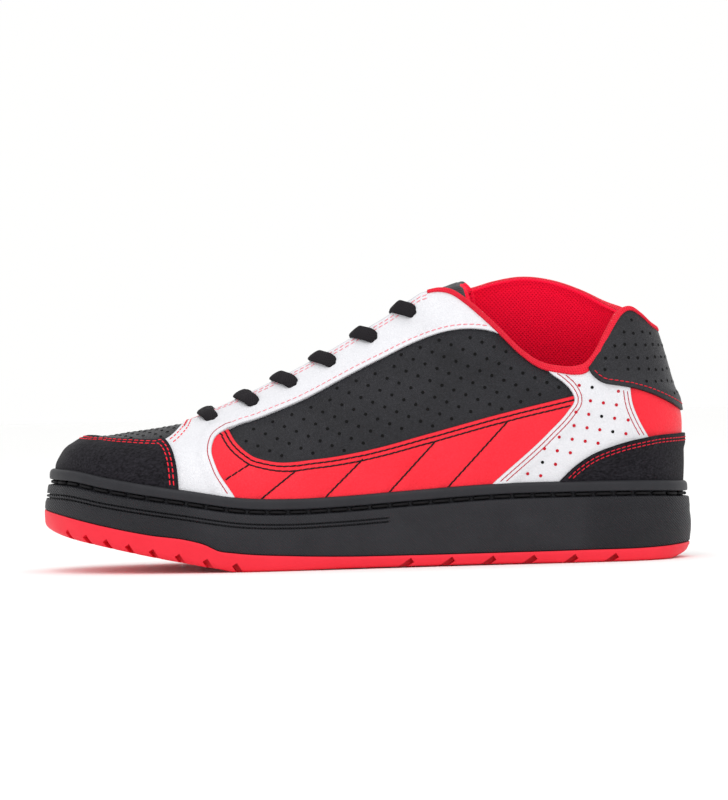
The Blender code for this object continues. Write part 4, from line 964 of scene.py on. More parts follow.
# woven tape folded over the collar, from one end of the throat round the heel to the other
# Ring rows: share of the tape's height or None for its lower edge, times proud, times wall, mm more
bindingShape = {
    "start": 29.2,
    "proud": 1.9,
    "overlap": 0.9,
    "leastClimb": 1.0,
    "ring": [
        (None, 1.0, 0.0, -1.6), (None, 1.0, 0.0, 0.0), (0.45, 1.0, 0.0, 0.0), (0.85, 0.3, 0.0, 0.0),
        (1.0, 0.0, -0.35, 0.0), (1.0, 0.0, -0.65, 0.0), (0.85, 0.0, -1.0, -0.03), (0.45, 0.0, -1.0, -0.1),
        (None, 0.0, -1.0, -0.1), (None, 0.0, -1.0, 0.3),
    ],
    "ringPoints": 30,
    "lined": (0.52, 0.97),
}


def offsetFrom(share, distance):
    here = lastAt(np.asarray(share)[:, None])[:, 0]
    above = lastAt(np.asarray(share)[:, None] + 0.01)[:, 0]
    below = lastAt(np.asarray(share)[:, None] - 0.01)[:, 0]
    across = np.roll(here, -1, axis=0) - np.roll(here, 1, axis=0)
    normal = unit(np.cross(across, above - below))
    return here + normal * np.reshape(distance, (-1, 1))


def makeBinding():
    shape = bindingShape
    x = lastAt(collarEdge[:, None])[:, 0, 0] + planCentre[0]
    first = int(np.argmax(x[: half + 1] > shape["start"]))
    run = np.arange(first, columns - first + 1)
    climb = collarEdge - wallEdge
    low = wallEdge - climb / np.maximum(tapeClimb, shape["leastClimb"]) * shape["overlap"]
    ring = []
    for share, proudPart, wallPart, more in shape["ring"]:
        level = low if share is None else wallEdge + climb * share
        ring.append(offsetFrom(level, shape["proud"] * proudPart + wallThickness[:, -1] * wallPart + more))
    ring = np.array(ring)[:, run]
    count = shape["ringPoints"]
    at = np.linspace(0.0, len(ring), count, endpoint=False)
    points = np.moveaxis(curveThrough(np.arange(len(ring)), ring, at, period=len(ring)), 1, 0)
    faces = tubeFaces(len(run), count)
    linedFrom, linedTo = shape["lined"]
    inner = [int(linedFrom < (k % count) / count < linedTo) for k in range(len(faces) - 2)] + [0, 0]
    uv = np.zeros((len(run), count, 2))
    uv[..., 0] = runAlong(points[:, 4])[:, None]
    uv[..., 1] = runAlong(points)
    inside = np.arange(count) > count * linedFrom
    uv[:, inside, 0] = planRun[run][:, None]
    uv[:, inside, 1] = points[:, inside, 2]
    return newPiece("collarBinding", points, faces, ["redWebbing", "redLining"], ["collar_binding"],
                    faceMaterial=inner, uv=uv)


makeBinding()

# padded tongue: under the eyestays at both sides, arched across the throat, with a free top end
# Settle rows: x, drop below the throat line. Skew: how far each point of the end lies back
tongueShape = {
    "from": -77.0,
    "to": 45.0,
    "flank": (0.66, 0.83, 1.0),
    "thickness": 5.6,
    "thinSide": 0.25,
    "clear": 0.8,
    "crown": 1.6,
    "settle": [(21.0, 0.0), (27.0, -0.6), (33.0, -1.6), (38.0, -2.3), (42.0, -2.6), (45.0, -4.4)],
    "skew": [2.0, 4.5, 2.5, 0.8, 0.2, 0.0, 0.2, 0.8, 2.5, 4.5, 2.0],
    "skewFrom": 24.0,
    "skewRun": 20.0,
    "corner": (30.0, 0.45),
    "taper": (40.0, 0.8),
    "lip": (2.2, 0.0, -1.2),
    "lipTurns": (0.35, 0.7, 1.05, 1.35),
    "edging": 3.4,
    "rings": 120,
    "ringPoints": 66,
}


def arch(start, end, crown, count):
    t = np.linspace(0.0, 1.0, count + 2)[1:-1]
    line = start + (end - start) * t[:, None]
    line[:, 2] += crown * 4 * t * (1 - t)
    return line


def makeTongue():
    shape = tongueShape
    x = topEdge[:, 0] + planCentre[0]
    run = [i for i in range(1, half) if shape["from"] <= x[i] <= shape["to"]][::3]
    sides, ways = [], []
    for share in shape["flank"]:
        whole = np.full(columns, share)
        outer = offsetFrom(whole, 0.0)
        normal = offsetFrom(whole, 1.0) - outer
        thick = lastShape["wall"] + paddingAt(outer[:, 0] + planCentre[0])
        sides.append(outer - normal * (thick + shape["clear"])[:, None])
        ways.append(normal)

    # share left of a size that runs out towards the free end in an ellipse
    def ending(at, start, left):
        t = np.clip((at - start) / (shape["to"] - start), 0.0, 1.0)
        return left + (1 - left) * math.sqrt(1 - t * t)

    rings = []
    deep = np.array([shape["thinSide"], *[1.0] * 9, shape["thinSide"]])
    for i in run:
        j = columns - i
        across = unit(ways[-1][i] + ways[-1][j])
        bridge = arch(sides[-1][i], sides[-1][j], shape["crown"], 5)
        top = np.array([*[s[i] for s in sides], *bridge, *[s[j] for s in sides[::-1]]])
        facing = np.array([w[i] for w in ways] + [across] * 5 + [w[j] for w in ways[::-1]])
        facing[2], facing[-3] = unit(facing[2] + across), unit(facing[-3] + across)
        for end, corner in ((slice(0, 2), 2), (slice(-2, None), -3)):
            top[end] = top[corner] + (top[end] - top[corner]) * ending(x[i], *shape["corner"])
        top[:, 1] = top[5, 1] + (top[:, 1] - top[5, 1]) * ending(x[i], *shape["taper"])
        top[:, 0] += np.array(shape["skew"]) * softStep((x[i] - shape["skewFrom"]) / shape["skewRun"])
        top[:, 2] += curveThrough(*zip(*shape["settle"]), x[i])
        below = top - facing * (shape["thickness"] * deep)[:, None]
        rings.append(np.vstack([top, below[::-1]]))
    lip = rings[-1]
    spine = (lip + lip[::-1]) / 2
    for turn in shape["lipTurns"]:
        rings.append(spine + (lip - spine) * math.cos(turn) + np.array(shape["lip"]) * math.sin(turn))
    rings = np.array(rings)
    gap = np.linalg.norm(np.diff(rings, axis=0), axis=2).mean(axis=1)
    keys = np.concatenate([[0.0], np.cumsum(np.maximum(gap, 0.3))])
    at = np.linspace(0.0, keys[-1], shape["rings"])
    rings = curveThrough(keys, rings, at)
    size, count = rings.shape[1], shape["ringPoints"]
    ringPlaces = np.arange(count) * size / count
    points = curveThrough(np.arange(size), np.moveaxis(rings, 1, 0), ringPlaces, period=size)
    points = np.moveaxis(points, 1, 0)
    faces = gridFaces(len(points), count, closeWide=False, closeHigh=True).tolist()
    inRing = np.tile(np.arange(count), len(points) - 1)
    fromEnd = keys[-1] - np.repeat(at[:-1], count)
    underneath = (inRing >= count // 2 - 1) & (inRing < count - 2)
    underside = (underneath | (fromEnd < shape["edging"])).astype(int).tolist()
    caps = [[k, k + 1, count - 4 - k, count - 3 - k] for k in range(count // 2 - 2)]
    caps.append([count - 3, count - 2, count - 1, 0])
    faces += caps + [[(len(points) - 1) * count + k for k in reversed(cap)] for cap in caps]
    underside += [0] * len(caps) + [1] * len(caps)
    uv = np.zeros((len(points), count, 2))
    uv[..., 0] = at[:, None]
    uv[..., 1] = runAlong(points)
    tongue = newPiece("paddedTongue", points, [face[::-1] for face in faces], ["tongueCloth", "redLining"],
                      ["tongue"], faceMaterial=underside, uv=uv)
    return tongue


makeTongue()

# lace bars: where each turns over the throat edge, and how its ends run down the eyestay
# Bar rows: x at the edge, run of an end down the eyestay, run back. End rows: share of that run, share of the lift
laceShape = {
    "bars": [
        (-74.0, 10.6, 5.6), (-56.8, 8.9, 5.2), (-39.6, 7.7, 5.9),
        (-21.5, 6.9, 6.1), (-2.1, 6.1, 6.1), (16.8, 5.7, 5.7),
    ],
    "endRows": [(1.3, -1.0), (1.12, 0.55), (0.85, 1.0), (0.45, 1.0), (0.0, 1.0)],
    "reach": (-82.0, 60.0),
    "square": 0.95,
    "tip": 0.3,
    "mapTurn": 2.6,
    "width": 7.0,
    "thickness": 2.5,
    "roundEnd": 5.0,
    "hiddenEnd": 2.0,
    "lift": 1.5,
    "crown": -0.6,
    "rings": 64,
    "ringPoints": 20,
}


def lacePath(edgeAt, endRun, endBack):
    speed = 3 * np.linalg.norm(topEdge - highHandle, axis=1)
    x = topEdge[:, 0] + planCentre[0]
    low, high = laceShape["reach"]
    outer = np.array([i for i in range(1, half) if low <= x[i] <= high])
    ends = []
    for run in (outer, columns - outer):
        points, ups = [], []
        for share, sink in laceShape["endRows"]:
            whole = 1 - share * endRun / speed
            here = offsetFrom(whole, 0.0)
            normal = offsetFrom(whole, 1.0) - here
            lift = laceShape["lift"] + laceShape["thickness"] / 2
            line = here + normal * (lift * sink)
            at = edgeAt + endBack * share
            points.append(between(at, x[run], line[run]))
            ups.append(between(at, x[run], normal[run]))
        ends.append((np.array(points), np.array(ups)))
    (left, leftUp), (right, rightUp) = ends
    share = np.linspace(0.0, 1.0, 5)[1:-1, None]
    path = np.vstack([left, arch(left[-1], right[-1], laceShape["crown"], 3), right[::-1]])
    ups = np.vstack([leftUp, leftUp[-1] * (1 - share) + rightUp[-1] * share, rightUp[::-1]])
    keys = runAlong(path)
    at = np.linspace(0.0, keys[-1], laceShape["rings"])
    return curveThrough(keys, path, at), unit(curveThrough(keys, ups, at)), at


def makeLaceBars():
    turn = np.linspace(0.0, 2 * math.pi, laceShape["ringPoints"], endpoint=False)
    square, tip = laceShape["square"], laceShape["tip"]
    wideShape = np.sign(np.cos(turn)) * np.abs(np.cos(turn)) ** square
    thickShape = np.sign(np.sin(turn)) * np.abs(np.sin(turn)) ** square
    for number, bar in enumerate(laceShape["bars"], start=1):
        path, ups, run = lacePath(*bar)
        way = unit(np.gradient(path, axis=0))
        wide = unit(np.cross(ups, way))
        thick = np.cross(way, wide)
        fromEnd = np.minimum(run, run[-1] - run) - laceShape["hiddenEnd"]
        left = np.clip(fromEnd / laceShape["roundEnd"], 0.0, 1.0)
        wide = wide * (tip + (1 - tip) * np.sqrt(1 - (1 - left) ** 2))[:, None]
        ring = path[:, None] + (wide[:, None] * (wideShape * laceShape["width"] / 2)[None, :, None]
                                + thick[:, None] * (thickShape * laceShape["thickness"] / 2)[None, :, None])
        count = len(turn)
        faces = [face[::-1] for face in tubeFaces(len(path), count)]
        uv = np.zeros((len(path), count, 2))
        uv[..., 0] = run[:, None]
        uv[..., 1] = (turn * laceShape["mapTurn"])[None, :]
        newPiece(f"laceBar{number}", ring, faces, ["laceCord"], [f"lace_bar_{number}"], uv=uv)


makeLaceBars()

# cup sole: side profile from the rim down, depth below the rim and inset from the outline
midsoleShape = {
    "profile": [
        (0.0, 4.6), (0.0, 3.6), (0.1, 3.0), (0.45, 2.4), (1.0, 1.95), (1.8, 1.68), (2.8, 1.6), (3.8, 1.6),
        (4.4, 1.66), (4.7, 1.9), (4.82, 2.4), (4.9, 3.2), (5.1, 4.0), (6.0, 4.1), (6.9, 4.0), (7.15, 3.2),
        (7.25, 2.2), (7.36, 1.4), (7.65, 1.05), (8.2, 0.92), (9.2, 0.86), (10.2, 0.8), (10.9, 0.76),
    ],
    "lines": [
        (11.15, 0.0), (11.3, 1.0), (11.9, 1.0), (12.05, 0.0), (12.85, 0.0), (13.0, 1.0), (13.6, 1.0), (13.75, 0.0),
    ],
    "lineDepth": 1.3,
    "lineInset": 0.7,
    "lineEnd": 10.0,
    "lineFade": 1.2,
    "clear": 0.3,
    "jointGap": 0.15,
    "jointInset": 0.35,
    "lipHeight": 0.5,
    "lipInset": 0.05,
    "wallTop": 14.1,
    "wallRows": 7,
    "wallInset": 0.25,
    "hatchToe": (-62.0, -96.0),
    "hatchHeel": (88.0, 112.0),
    "hatchLeast": 0.3,
    "hatchBelow": 7.2,
    "hatchFade": 0.4,
    "toeTuck": [(0.0, 0.9), (7.0, 0.7), (14.0, 0.0), (30.0, -0.8)],
    "heelTuck": [(0.0, 0.2), (7.4, 0.2), (12.0, 0.2), (22.0, 0.4), (30.0, 1.6), (36.0, 1.9)],
}


# extra inset round the toe and the heel, by depth below the rim
def endTuck(out, below):
    toe = np.clip(-out[:, 0], 0.0, 1.0) ** 2 * np.interp(below, *zip(*midsoleShape["toeTuck"]))
    heel = np.clip(out[:, 0], 0.0, 1.0) ** 2 * np.interp(below, *zip(*midsoleShape["heelTuck"]))
    return toe + heel


def makeMidsole():
    shape = midsoleShape
    x = plan[:, 0] + planCentre[0]
    rimZ = soleHeight("rim", plan[:, 0])
    jointZ = soleHeight("joint", plan[:, 0]) + shape["jointGap"]
    inFront = 1 - softStep((x - shape["lineEnd"] + shape["lineFade"]) / shape["lineFade"])

    def ringAt(z, inwards):
        inwards = inwards + endTuck(planOut, rimZ - z)
        return np.column_stack([plan - planOut * np.reshape(inwards, (-1, 1)), z])

    rings = [foot + outward * shape["clear"], rim + outward * shape["clear"]]
    rings += [ringAt(rimZ - below, inwards) for below, inwards in shape["profile"]]
    for below, cut in shape["lines"]:
        rings.append(ringAt(rimZ - below, shape["lineInset"] + shape["lineDepth"] * cut * inFront))
    wallTop = rimZ - shape["wallTop"]
    for k in range(shape["wallRows"]):
        share = k / (shape["wallRows"] - 1)
        z = wallTop + (jointZ + shape["lipHeight"] - wallTop) * share
        bulge = shape["wallInset"] + (shape["lineInset"] - shape["wallInset"]) * (1 - softStep(share * 3.0))
        rings.append(ringAt(z, bulge * (1 - share) + shape["lipInset"] * share))
    rings.append(ringAt(jointZ, shape["jointInset"]))
    rings = rings[::-1]
    points = np.stack(rings, axis=1)
    faces = stackFaces(columns, len(rings))
    below = rimZ[:, None] - points[..., 2]
    toeward = softStep((shape["hatchToe"][0] - x) / (shape["hatchToe"][0] - shape["hatchToe"][1]))
    heelward = softStep((x - shape["hatchHeel"][0]) / (shape["hatchHeel"][1] - shape["hatchHeel"][0]))
    hatch = np.maximum(shape["hatchLeast"], np.maximum(toeward, heelward))[:, None]
    hatch = hatch * softStep((below - shape["hatchBelow"]) / shape["hatchFade"])
    return newPiece("cupSole", points, faces, ["blackRubber"], ["midsole"], values={"hatch": hatch})


makeMidsole()

# tread: side profile from the ground up, notches along its edge, two channels and crossed grooves below
# Notch rows: first x, spacing, growth, count, width, depth, lean
outsoleShape = {
    "columns": 320,
    "lower": [(4.2, 0.0), (2.9, 0.1), (1.9, 0.45), (1.1, 1.05), (0.6, 1.9), (0.3, 2.9)],
    "upper": [(0.0, -1.6), (0.0, -0.5), (0.2, -0.15)],
    "notches": [(-137.05, 8.65, 0.367, 8, 2.6, 3.7, 32.0), (15.3, 18.7, 0.0, 6, 2.5, 3.1, -55.0)],
    "notchReach": 5.5,
    "channels": [(-112.0, -46.0), (16.0, 128.0)],
    "channelY": -2.0,
    "channelWidth": 3.0,
    "channelDepth": 2.2,
    "grooveZones": [(-128.0, -34.0), (24.0, 134.0)],
    "grooveAngle": 36.0,
    "grooveSpacing": 10.5,
    "grooveWidth": 1.7,
    "grooveDepth": 1.3,
    "grooveMargin": 9.5,
    "grooveCount": 20,
    "grooveReach": 220.0,
    "groovePoints": 111,
    "channelPoints": 8,
    "cutterDrop": 4.0,
    "smoothAngle": 32.0,
}


def edgePlace(x, side):
    run = np.arange(half + 1) if side > 0 else -np.arange(half + 1) % columns
    at, keys = x - planCentre[0], plan[run, 0]
    return between(at, keys, plan[run]), unit(between(at, keys, planOut[run]))


def addNotchCutters():
    cutters = []
    for firstX, spacing, growth, count, width, depth, leanDeg in outsoleShape["notches"]:
        slant = math.radians(leanDeg)
        for k in range(count):
            x = firstX + k * spacing + k * k * growth
            for side in (1.0, -1.0):
                point, out = edgePlace(x, side)
                edge = Vector((-out[1] * side, out[0] * side, 0.0))
                up = Vector((0.0, 0.0, math.cos(slant))) - edge * math.sin(slant)
                ahead = edge * math.cos(slant) + Vector((0.0, 0.0, math.sin(slant)))
                turn = Matrix((ahead, up.cross(ahead), up)).transposed().to_euler()
                place = Vector((point[0], point[1], float(soleHeight("ground", x)))) * mm
                size = (width * mm, 2 * outsoleShape["notchReach"] * mm, 2 * depth / math.cos(slant) * mm)
                bpy.ops.mesh.primitive_cube_add(size=1.0, location=place, rotation=turn, scale=size)
                cutters.append(bpy.context.object)
    return cutters


# a bar that follows a line along the ground
def addBarCutter(line, width, depth):
    way = unit(line[-1] - line[0])
    across = np.array([-way[1], way[0]]) * width / 2
    ground = soleHeight("ground", line[:, 0])
    low, high = ground - outsoleShape["cutterDrop"], ground + depth
    ring = [(line - across, low), (line + across, low), (line + across, high), (line - across, high)]
    ring = np.stack([np.column_stack([flat, z]) for flat, z in ring], axis=1)
    last = (len(line) - 1) * 4
    faces = gridFaces(len(line), 4, closeWide=False, closeHigh=True).tolist()
    faces += [[3, 2, 1, 0], [last, last + 1, last + 2, last + 3]]
    bpy.ops.mesh.primitive_cube_add(size=1.0)
    cutter = bpy.context.object
    cutter.data.clear_geometry()
    cutter.data.from_pydata((ring.reshape(-1, 3) * mm).tolist(), [], faces)
    return cutter


def addChannelCutters():
    cutters = []
    for low, high in outsoleShape["channels"]:
        steps = np.linspace(low, high, outsoleShape["channelPoints"]) - planCentre[0]
        line = np.column_stack([steps, np.full(len(steps), outsoleShape["channelY"])])
        cutters.append(addBarCutter(line, outsoleShape["channelWidth"], outsoleShape["channelDepth"]))
    return cutters


# slanted grooves one way, then the other, kept away from the edge
def addGrooveCutters():
    shape = outsoleShape
    cutters = []
    steps = np.linspace(-shape["grooveReach"], shape["grooveReach"], shape["groovePoints"])[:, None]
    for slant in (math.radians(shape["grooveAngle"]), -math.radians(shape["grooveAngle"])):
        way = np.array([math.cos(slant), math.sin(slant)])
        across = np.array([-math.sin(slant), math.cos(slant)])
        for k in range(-shape["grooveCount"], shape["grooveCount"] + 1):
            line = across * k * shape["grooveSpacing"] + way * steps
            inEdge = signedDistance(plan[::4], line) < -shape["grooveMargin"]
            x = line[:, 0] + planCentre[0]
            for low, high in shape["grooveZones"]:
                kept = line[inEdge & (x > low) & (x < high)]
                if len(kept) > 3:
                    cutters.append(addBarCutter(kept, shape["grooveWidth"], shape["grooveDepth"]))
    return cutters


def cutAway(piece, cutters):
    for cutter in cutters:
        bpy.ops.object.select_all(action="DESELECT")
        cutter.select_set(True)
        bpy.context.view_layer.objects.active = cutter
        bpy.ops.object.transform_apply(location=True, rotation=True, scale=True)
        bpy.ops.object.mode_set(mode="EDIT")
        bpy.ops.mesh.select_all(action="SELECT")
        bpy.ops.mesh.normals_make_consistent(inside=False)
        bpy.ops.object.mode_set(mode="OBJECT")
        bpy.ops.object.select_all(action="DESELECT")
        bpy.context.view_layer.objects.active = piece
        modifier = piece.modifiers.new("groove", "BOOLEAN")
        modifier.operation = "DIFFERENCE"
        modifier.solver = "MANIFOLD"
        modifier.object = cutter
        bpy.ops.object.modifier_apply(modifier="groove")
        bpy.data.objects.remove(cutter)


def makeOutsole():
    step = columns // outsoleShape["columns"]
    loop, out = plan[::step], planOut[::step]

    def ringAt(inwards, column, lift):
        below = soleHeight("rim", loop[:, 0]) - soleHeight(column, loop[:, 0]) - lift
        flat = loop - out * (inwards + endTuck(out, below))[:, None]
        return np.column_stack([flat, soleHeight(column, flat[:, 0]) + lift])

    rings = [ringAt(inwards, "ground", lift) for inwards, lift in outsoleShape["lower"]]
    rings += [ringAt(inwards, "joint", lift) for inwards, lift in outsoleShape["upper"]]
    points = np.stack(rings, axis=1)
    faces = stackFaces(len(loop), len(rings))
    outsole = newPiece("treadRubber", points, faces, ["redRubber"], ["outsole"])
    cutAway(outsole, addNotchCutters() + addChannelCutters() + addGrooveCutters())
    bpy.context.view_layer.objects.active = outsole
    outsole.select_set(True)
    bpy.ops.object.shade_smooth_by_angle(angle=math.radians(outsoleShape["smoothAngle"]))
    outsole.select_set(False)
    return outsole


makeOutsole()

# footbed: cupped cloth-covered sheet inside the upper
insoleShape = {"thickness": 4.5, "rings": 22, "cup": 3.0, "cupRun": 0.35, "rimCup": 0.9, "edgeDrop": 1.0,
               "clear": 2.9, "edgeIn": 0.02, "reachIn": 0.97, "mapShift": 200.0}


def makeInsole():
    shape = insoleShape
    bottom = foot - outward * shape["clear"]
    spine = (bottom + np.roll(bottom[::-1], 1, axis=0)) / 2
    rings = [bottom + (spine - bottom) * shape["edgeIn"]]
    rings.append(bottom + upward * (shape["thickness"] - shape["edgeDrop"]))
    for share in np.linspace(0.0, 1.0, shape["rings"])[:-1]:
        ring = bottom + (spine - bottom) * (shape["edgeIn"] + share * shape["reachIn"])
        cup = shape["cup"] * (1 - softStep(share / shape["cupRun"]) if share > 0 else shape["rimCup"])
        rings.append(ring + upward * (shape["thickness"] + cup))
    points = np.stack(rings, axis=1)
    faces = stackFaces(columns, len(rings))
    uv = points[..., :2] + shape["mapShift"]
    return newPiece("footbed", points, faces, ["footbedCloth"], ["insole"], uv=uv)


makeInsole()

# stitches: small dashes on contour lines of the panels' edges
stitchShape = {"length": 2.2, "pitch": 3.0, "width": 0.6, "height": 0.3, "slant": 0.07, "tip": 0.35}


def contourLines(field, level, keep):
    corners = gridFaces(columns, rowCount)
    flat = field.ravel() + level
    kept = flat[corners] < 0
    cells = corners[kept.any(axis=1) & ~kept.all(axis=1) & keep.ravel()[corners].all(axis=1)]
    links = {}
    for cell in cells.tolist():
        ends = []
        for p, q in zip(cell, cell[1:] + cell[:1]):
            if (flat[p] < 0) != (flat[q] < 0):
                ends.append((min(p, q), max(p, q)))
        for a, b in zip(ends[::2], ends[1::2]):
            links.setdefault(a, []).append(b)
            links.setdefault(b, []).append(a)
    lines = []
    waiting = dict.fromkeys(sorted(links, key=lambda e: (len(links[e]), e)))
    while waiting:
        here = next(iter(waiting))
        line = []
        while here is not None:
            waiting.pop(here, None)
            line.append(here)
            here = next((n for n in links[here] if n in waiting), None)
        if len(line) > 3:
            first = np.array([e[0] for e in line])
            second = np.array([e[1] for e in line])
            lines.append((first, second, flat[first] / (flat[first] - flat[second])))
    return lines


# middle, way and face of each dash along a line
def dashes(points, normals, stitch):
    run = runAlong(points)
    count = round(run[-1] / stitch["pitch"])
    if count < 1:
        return np.zeros((0, 3, 3))
    middle = (np.arange(count) + 0.5) * run[-1] / count
    start, centre, end = (between(middle + stitch["length"] * k, run, points) for k in (-0.5, 0.0, 0.5))
    return np.stack([centre, unit(end - start), unit(between(middle, run, normals))], axis=1)


# joined dashes: each is five rings of six points, thin at its ends
def makeStitches(name, places, finishName, stitch):
    places = np.vstack(places)
    alongShare = np.array([-0.5, -0.38, 0.0, 0.38, 0.5])
    size = np.array([stitch["tip"], 0.9, 1.0, 0.9, stitch["tip"]])
    turn = np.linspace(0.0, 2 * math.pi, 6, endpoint=False)
    middle, way, face = places[:, 0], places[:, 1], places[:, 2]
    side = np.cross(face, way)
    way = unit(way + side * stitch["slant"])
    side = np.cross(face, way)
    points = []
    for share, grow in zip(alongShare, size):
        for angle in turn:
            across = math.cos(angle) * stitch["width"] / 2 * grow
            up = (math.sin(angle) * 0.7 + 0.25 * grow) * stitch["height"] * grow - 0.06 * (1 - grow)
            points.append(middle + way * (share * stitch["length"]) + side * across + face * up)
    points = np.stack(points, axis=1)
    one = [ring[::-1] for ring in tubeFaces(len(alongShare), len(turn))]
    return newPiece(name, points, repeatFaces(one, points.shape[1], len(places)), [finishName])


def stitchRows(panel, levels, keep, field=None, stitch=stitchShape):
    field = panelField(panel) if field is None else field
    height = panelHeight(panel)
    found = []
    for level in levels:
        for line in contourLines(field, level, keep):
            normals = unit(mixed(line, baseNormals))
            points = mixed(line, basePoints) + normals * mixed(line, height)[:, None]
            found.append(dashes(points, normals, stitch))
    return found


sideX, sideZ = sideView[..., 0], sideView[..., 1]
aboveRim = sideZ > rim[:, None, 2] + 0.8
thinStitch = dict(stitchShape, length=2.5, pitch=2.5, width=0.45, height=0.22, slant=0.03, tip=0.75)
counterStitch = dict(stitchShape, length=2.0, pitch=2.6, width=0.5, height=0.26)
paleStitch = dict(stitchShape, width=0.5, height=0.26)
blackStitch = dict(stitchShape, width=0.78, height=0.42, pitch=3.1, length=3.1, slant=0.06, tip=0.72)
soleStitch = dict(stitchShape, length=8.2, pitch=9.3, width=1.7, height=1.5, slant=0.0)
# how far each row of stitches lies from the edge that it follows
seams = {
    "toeCap": (1.8, 3.5),
    "heelCounter": (1.9, 3.3),
    "heelTab": (2.1,),
    "throat": (1.7, 3.4),
    "eyestayLow": (1.9,),
    "eyestayFront": (1.5, 3.4),
    "sidePanel": (1.9, 4.1),
    "saddle": (1.6, 3.3),
    "soleBelow": 6.0,
    "soleInset": 3.5,
}


def makeAllStitches():
    stay, cap, saddle = fields["eyestay"], fields["toeCap"], fields["saddle"]
    lowEdge = aboveRim & (topRun > 2.0) & (cap > 1.0) & (sideX > -84.0) & (sideX < 62.0)
    front = (sideX < -80.0) & (cap > 0.8) & (topRun > 2.0) & (sideZ > 58.0)
    clearOf = aboveRim & (stay > -0.6) & (saddle > -0.6) & (sideZ > 44.0)
    bare = aboveRim & (fields["heelTab"] > 1.0) & (fields["heelCounter"] > 1.0) & (topRun > 1.5)
    red = stitchRows("toeCap", seams["toeCap"], aboveRim & (sideX < -80.0))
    red += stitchRows("eyestay", seams["eyestayFront"], front, stay)
    counter = stitchRows("heelCounter", seams["heelCounter"], aboveRim, stitch=counterStitch)
    counter += stitchRows("heelTab", seams["heelTab"], (sideZ < 100.0) & (topRun > 3.0), stitch=counterStitch)
    pale = stitchRows("eyestay", seams["throat"], (sideX < 31.0) & (stay < -2.0), -topRun)
    pale += stitchRows("eyestay", seams["eyestayLow"], lowEdge & (sideX > -62.0), stay)
    thin = stitchRows("eyestay", seams["eyestayLow"], lowEdge & (sideX <= -61.0), stay, thinStitch)
    black = []
    for side in ("Lateral", "Medial"):
        panel = "sidePanel" + side
        black += stitchRows(panel, seams["sidePanel"], clearOf, fields[panel], blackStitch)
        panel = "saddle" + side
        thin += stitchRows(panel, seams["saddle"], bare, fields[panel], thinStitch)
    for towards in (1.0, -1.0):
        black += [quiltDashes(start, end, towards) for start, end in quilting["lines"]]
    makeStitches("redStitches", red, "redThread", stitchShape)
    makeStitches("paleStitches", pale, "paleThread", paleStitch)
    makeStitches("counterStitches", counter, "counterThread", counterStitch)
    makeStitches("thinStitches", thin, "darkRedThread", thinStitch)
    makeStitches("blackStitches", black, "blackThread", blackStitch)


# the bare upper as one tree for rays, to set things on it from a side view
surfaceTree = BVHTree.FromPolygons(basePoints.reshape(-1, 3).tolist(), gridFaces(columns, rowCount).tolist())
cellRows = rowCount - 1


# grid cell, point and normal that a ray meets first
def meet(origin, direction):
    point, normal, face, distance = surfaceTree.ray_cast(Vector(origin), Vector(direction))
    if point is None:
        return None
    i, j = divmod(face, cellRows)
    return (i, j), np.array(point), baseNormals[i, j]


# looks along y from the outer (1) or inner (-1) side
def meetFromSide(x, z, towards):
    return meet((x - planCentre[0], -200.0 * towards, z), (0.0, towards, 0.0))


def quiltDashes(start, end, towards):
    panel = "sidePanelLateral" if towards > 0 else "sidePanelMedial"
    height = panelHeight(panel)
    points, normals = [], []
    for share in np.linspace(0.0, 1.0, 30):
        x, z = np.asarray(start) + (np.asarray(end) - np.asarray(start)) * share
        hit = meetFromSide(x, z, towards)
        covered = hit and min(fields["eyestay"][hit[0]], fields["saddle"][hit[0]]) <= -0.4
        if hit and not covered and fields[panel][hit[0]] < -4.0:
            points.append(hit[1] + hit[2] * height[hit[0]])
            normals.append(hit[2])
    if len(points) < 3:
        return np.zeros((0, 3, 3))
    return dashes(np.array(points), np.array(normals), blackStitch)


makeAllStitches()


def makeSoleThread():
    below = np.full(columns, seams["soleBelow"])
    inwards = seams["soleInset"] + endTuck(planOut, below)
    groove = np.column_stack([plan - planOut * inwards[:, None], soleHeight("rim", plan[:, 0]) - below])
    closed = np.vstack([groove, groove[:1]])
    face = np.column_stack([planOut, np.zeros(columns)])
    places = dashes(closed, np.vstack([face, face[:1]]), soleStitch)
    return makeStitches("soleThread", [places], "blackThread", soleStitch)


makeSoleThread()

# punched holes: lattice steps seen from the side or from above, and how far they keep from edges. Each hole is a
# dark disc of painted shade
holeShape = {
    "quarter": {"origin": (0.0, 70.0), "first": (5.4, -2.3), "second": (3.4, 5.4), "radius": 0.72,
                "margin": 2.0, "below": 4.0, "from": -68.0, "to": 100.0},
    "saddle": {"origin": (98.8, 86.7), "first": (5.9, -1.05), "second": (-1.0, -6.1), "radius": 0.72,
               "margin": 3.1, "below": 2.5, "lowest": 38.5},
    "vamp": {"origin": (-100.0, 3.0), "first": (5.6, 0.0), "second": (2.8, 4.9), "margin": 3.4, "fromEyestay": 2.4},
    "heelTab": {"low": 76.0, "high": 114.0, "step": 5.6, "margin": 4.0, "below": 4.5},
    "lace": {"radius": 1.4, "ring": 3},
    "steps": 30,
    "reach": 160.0,
}
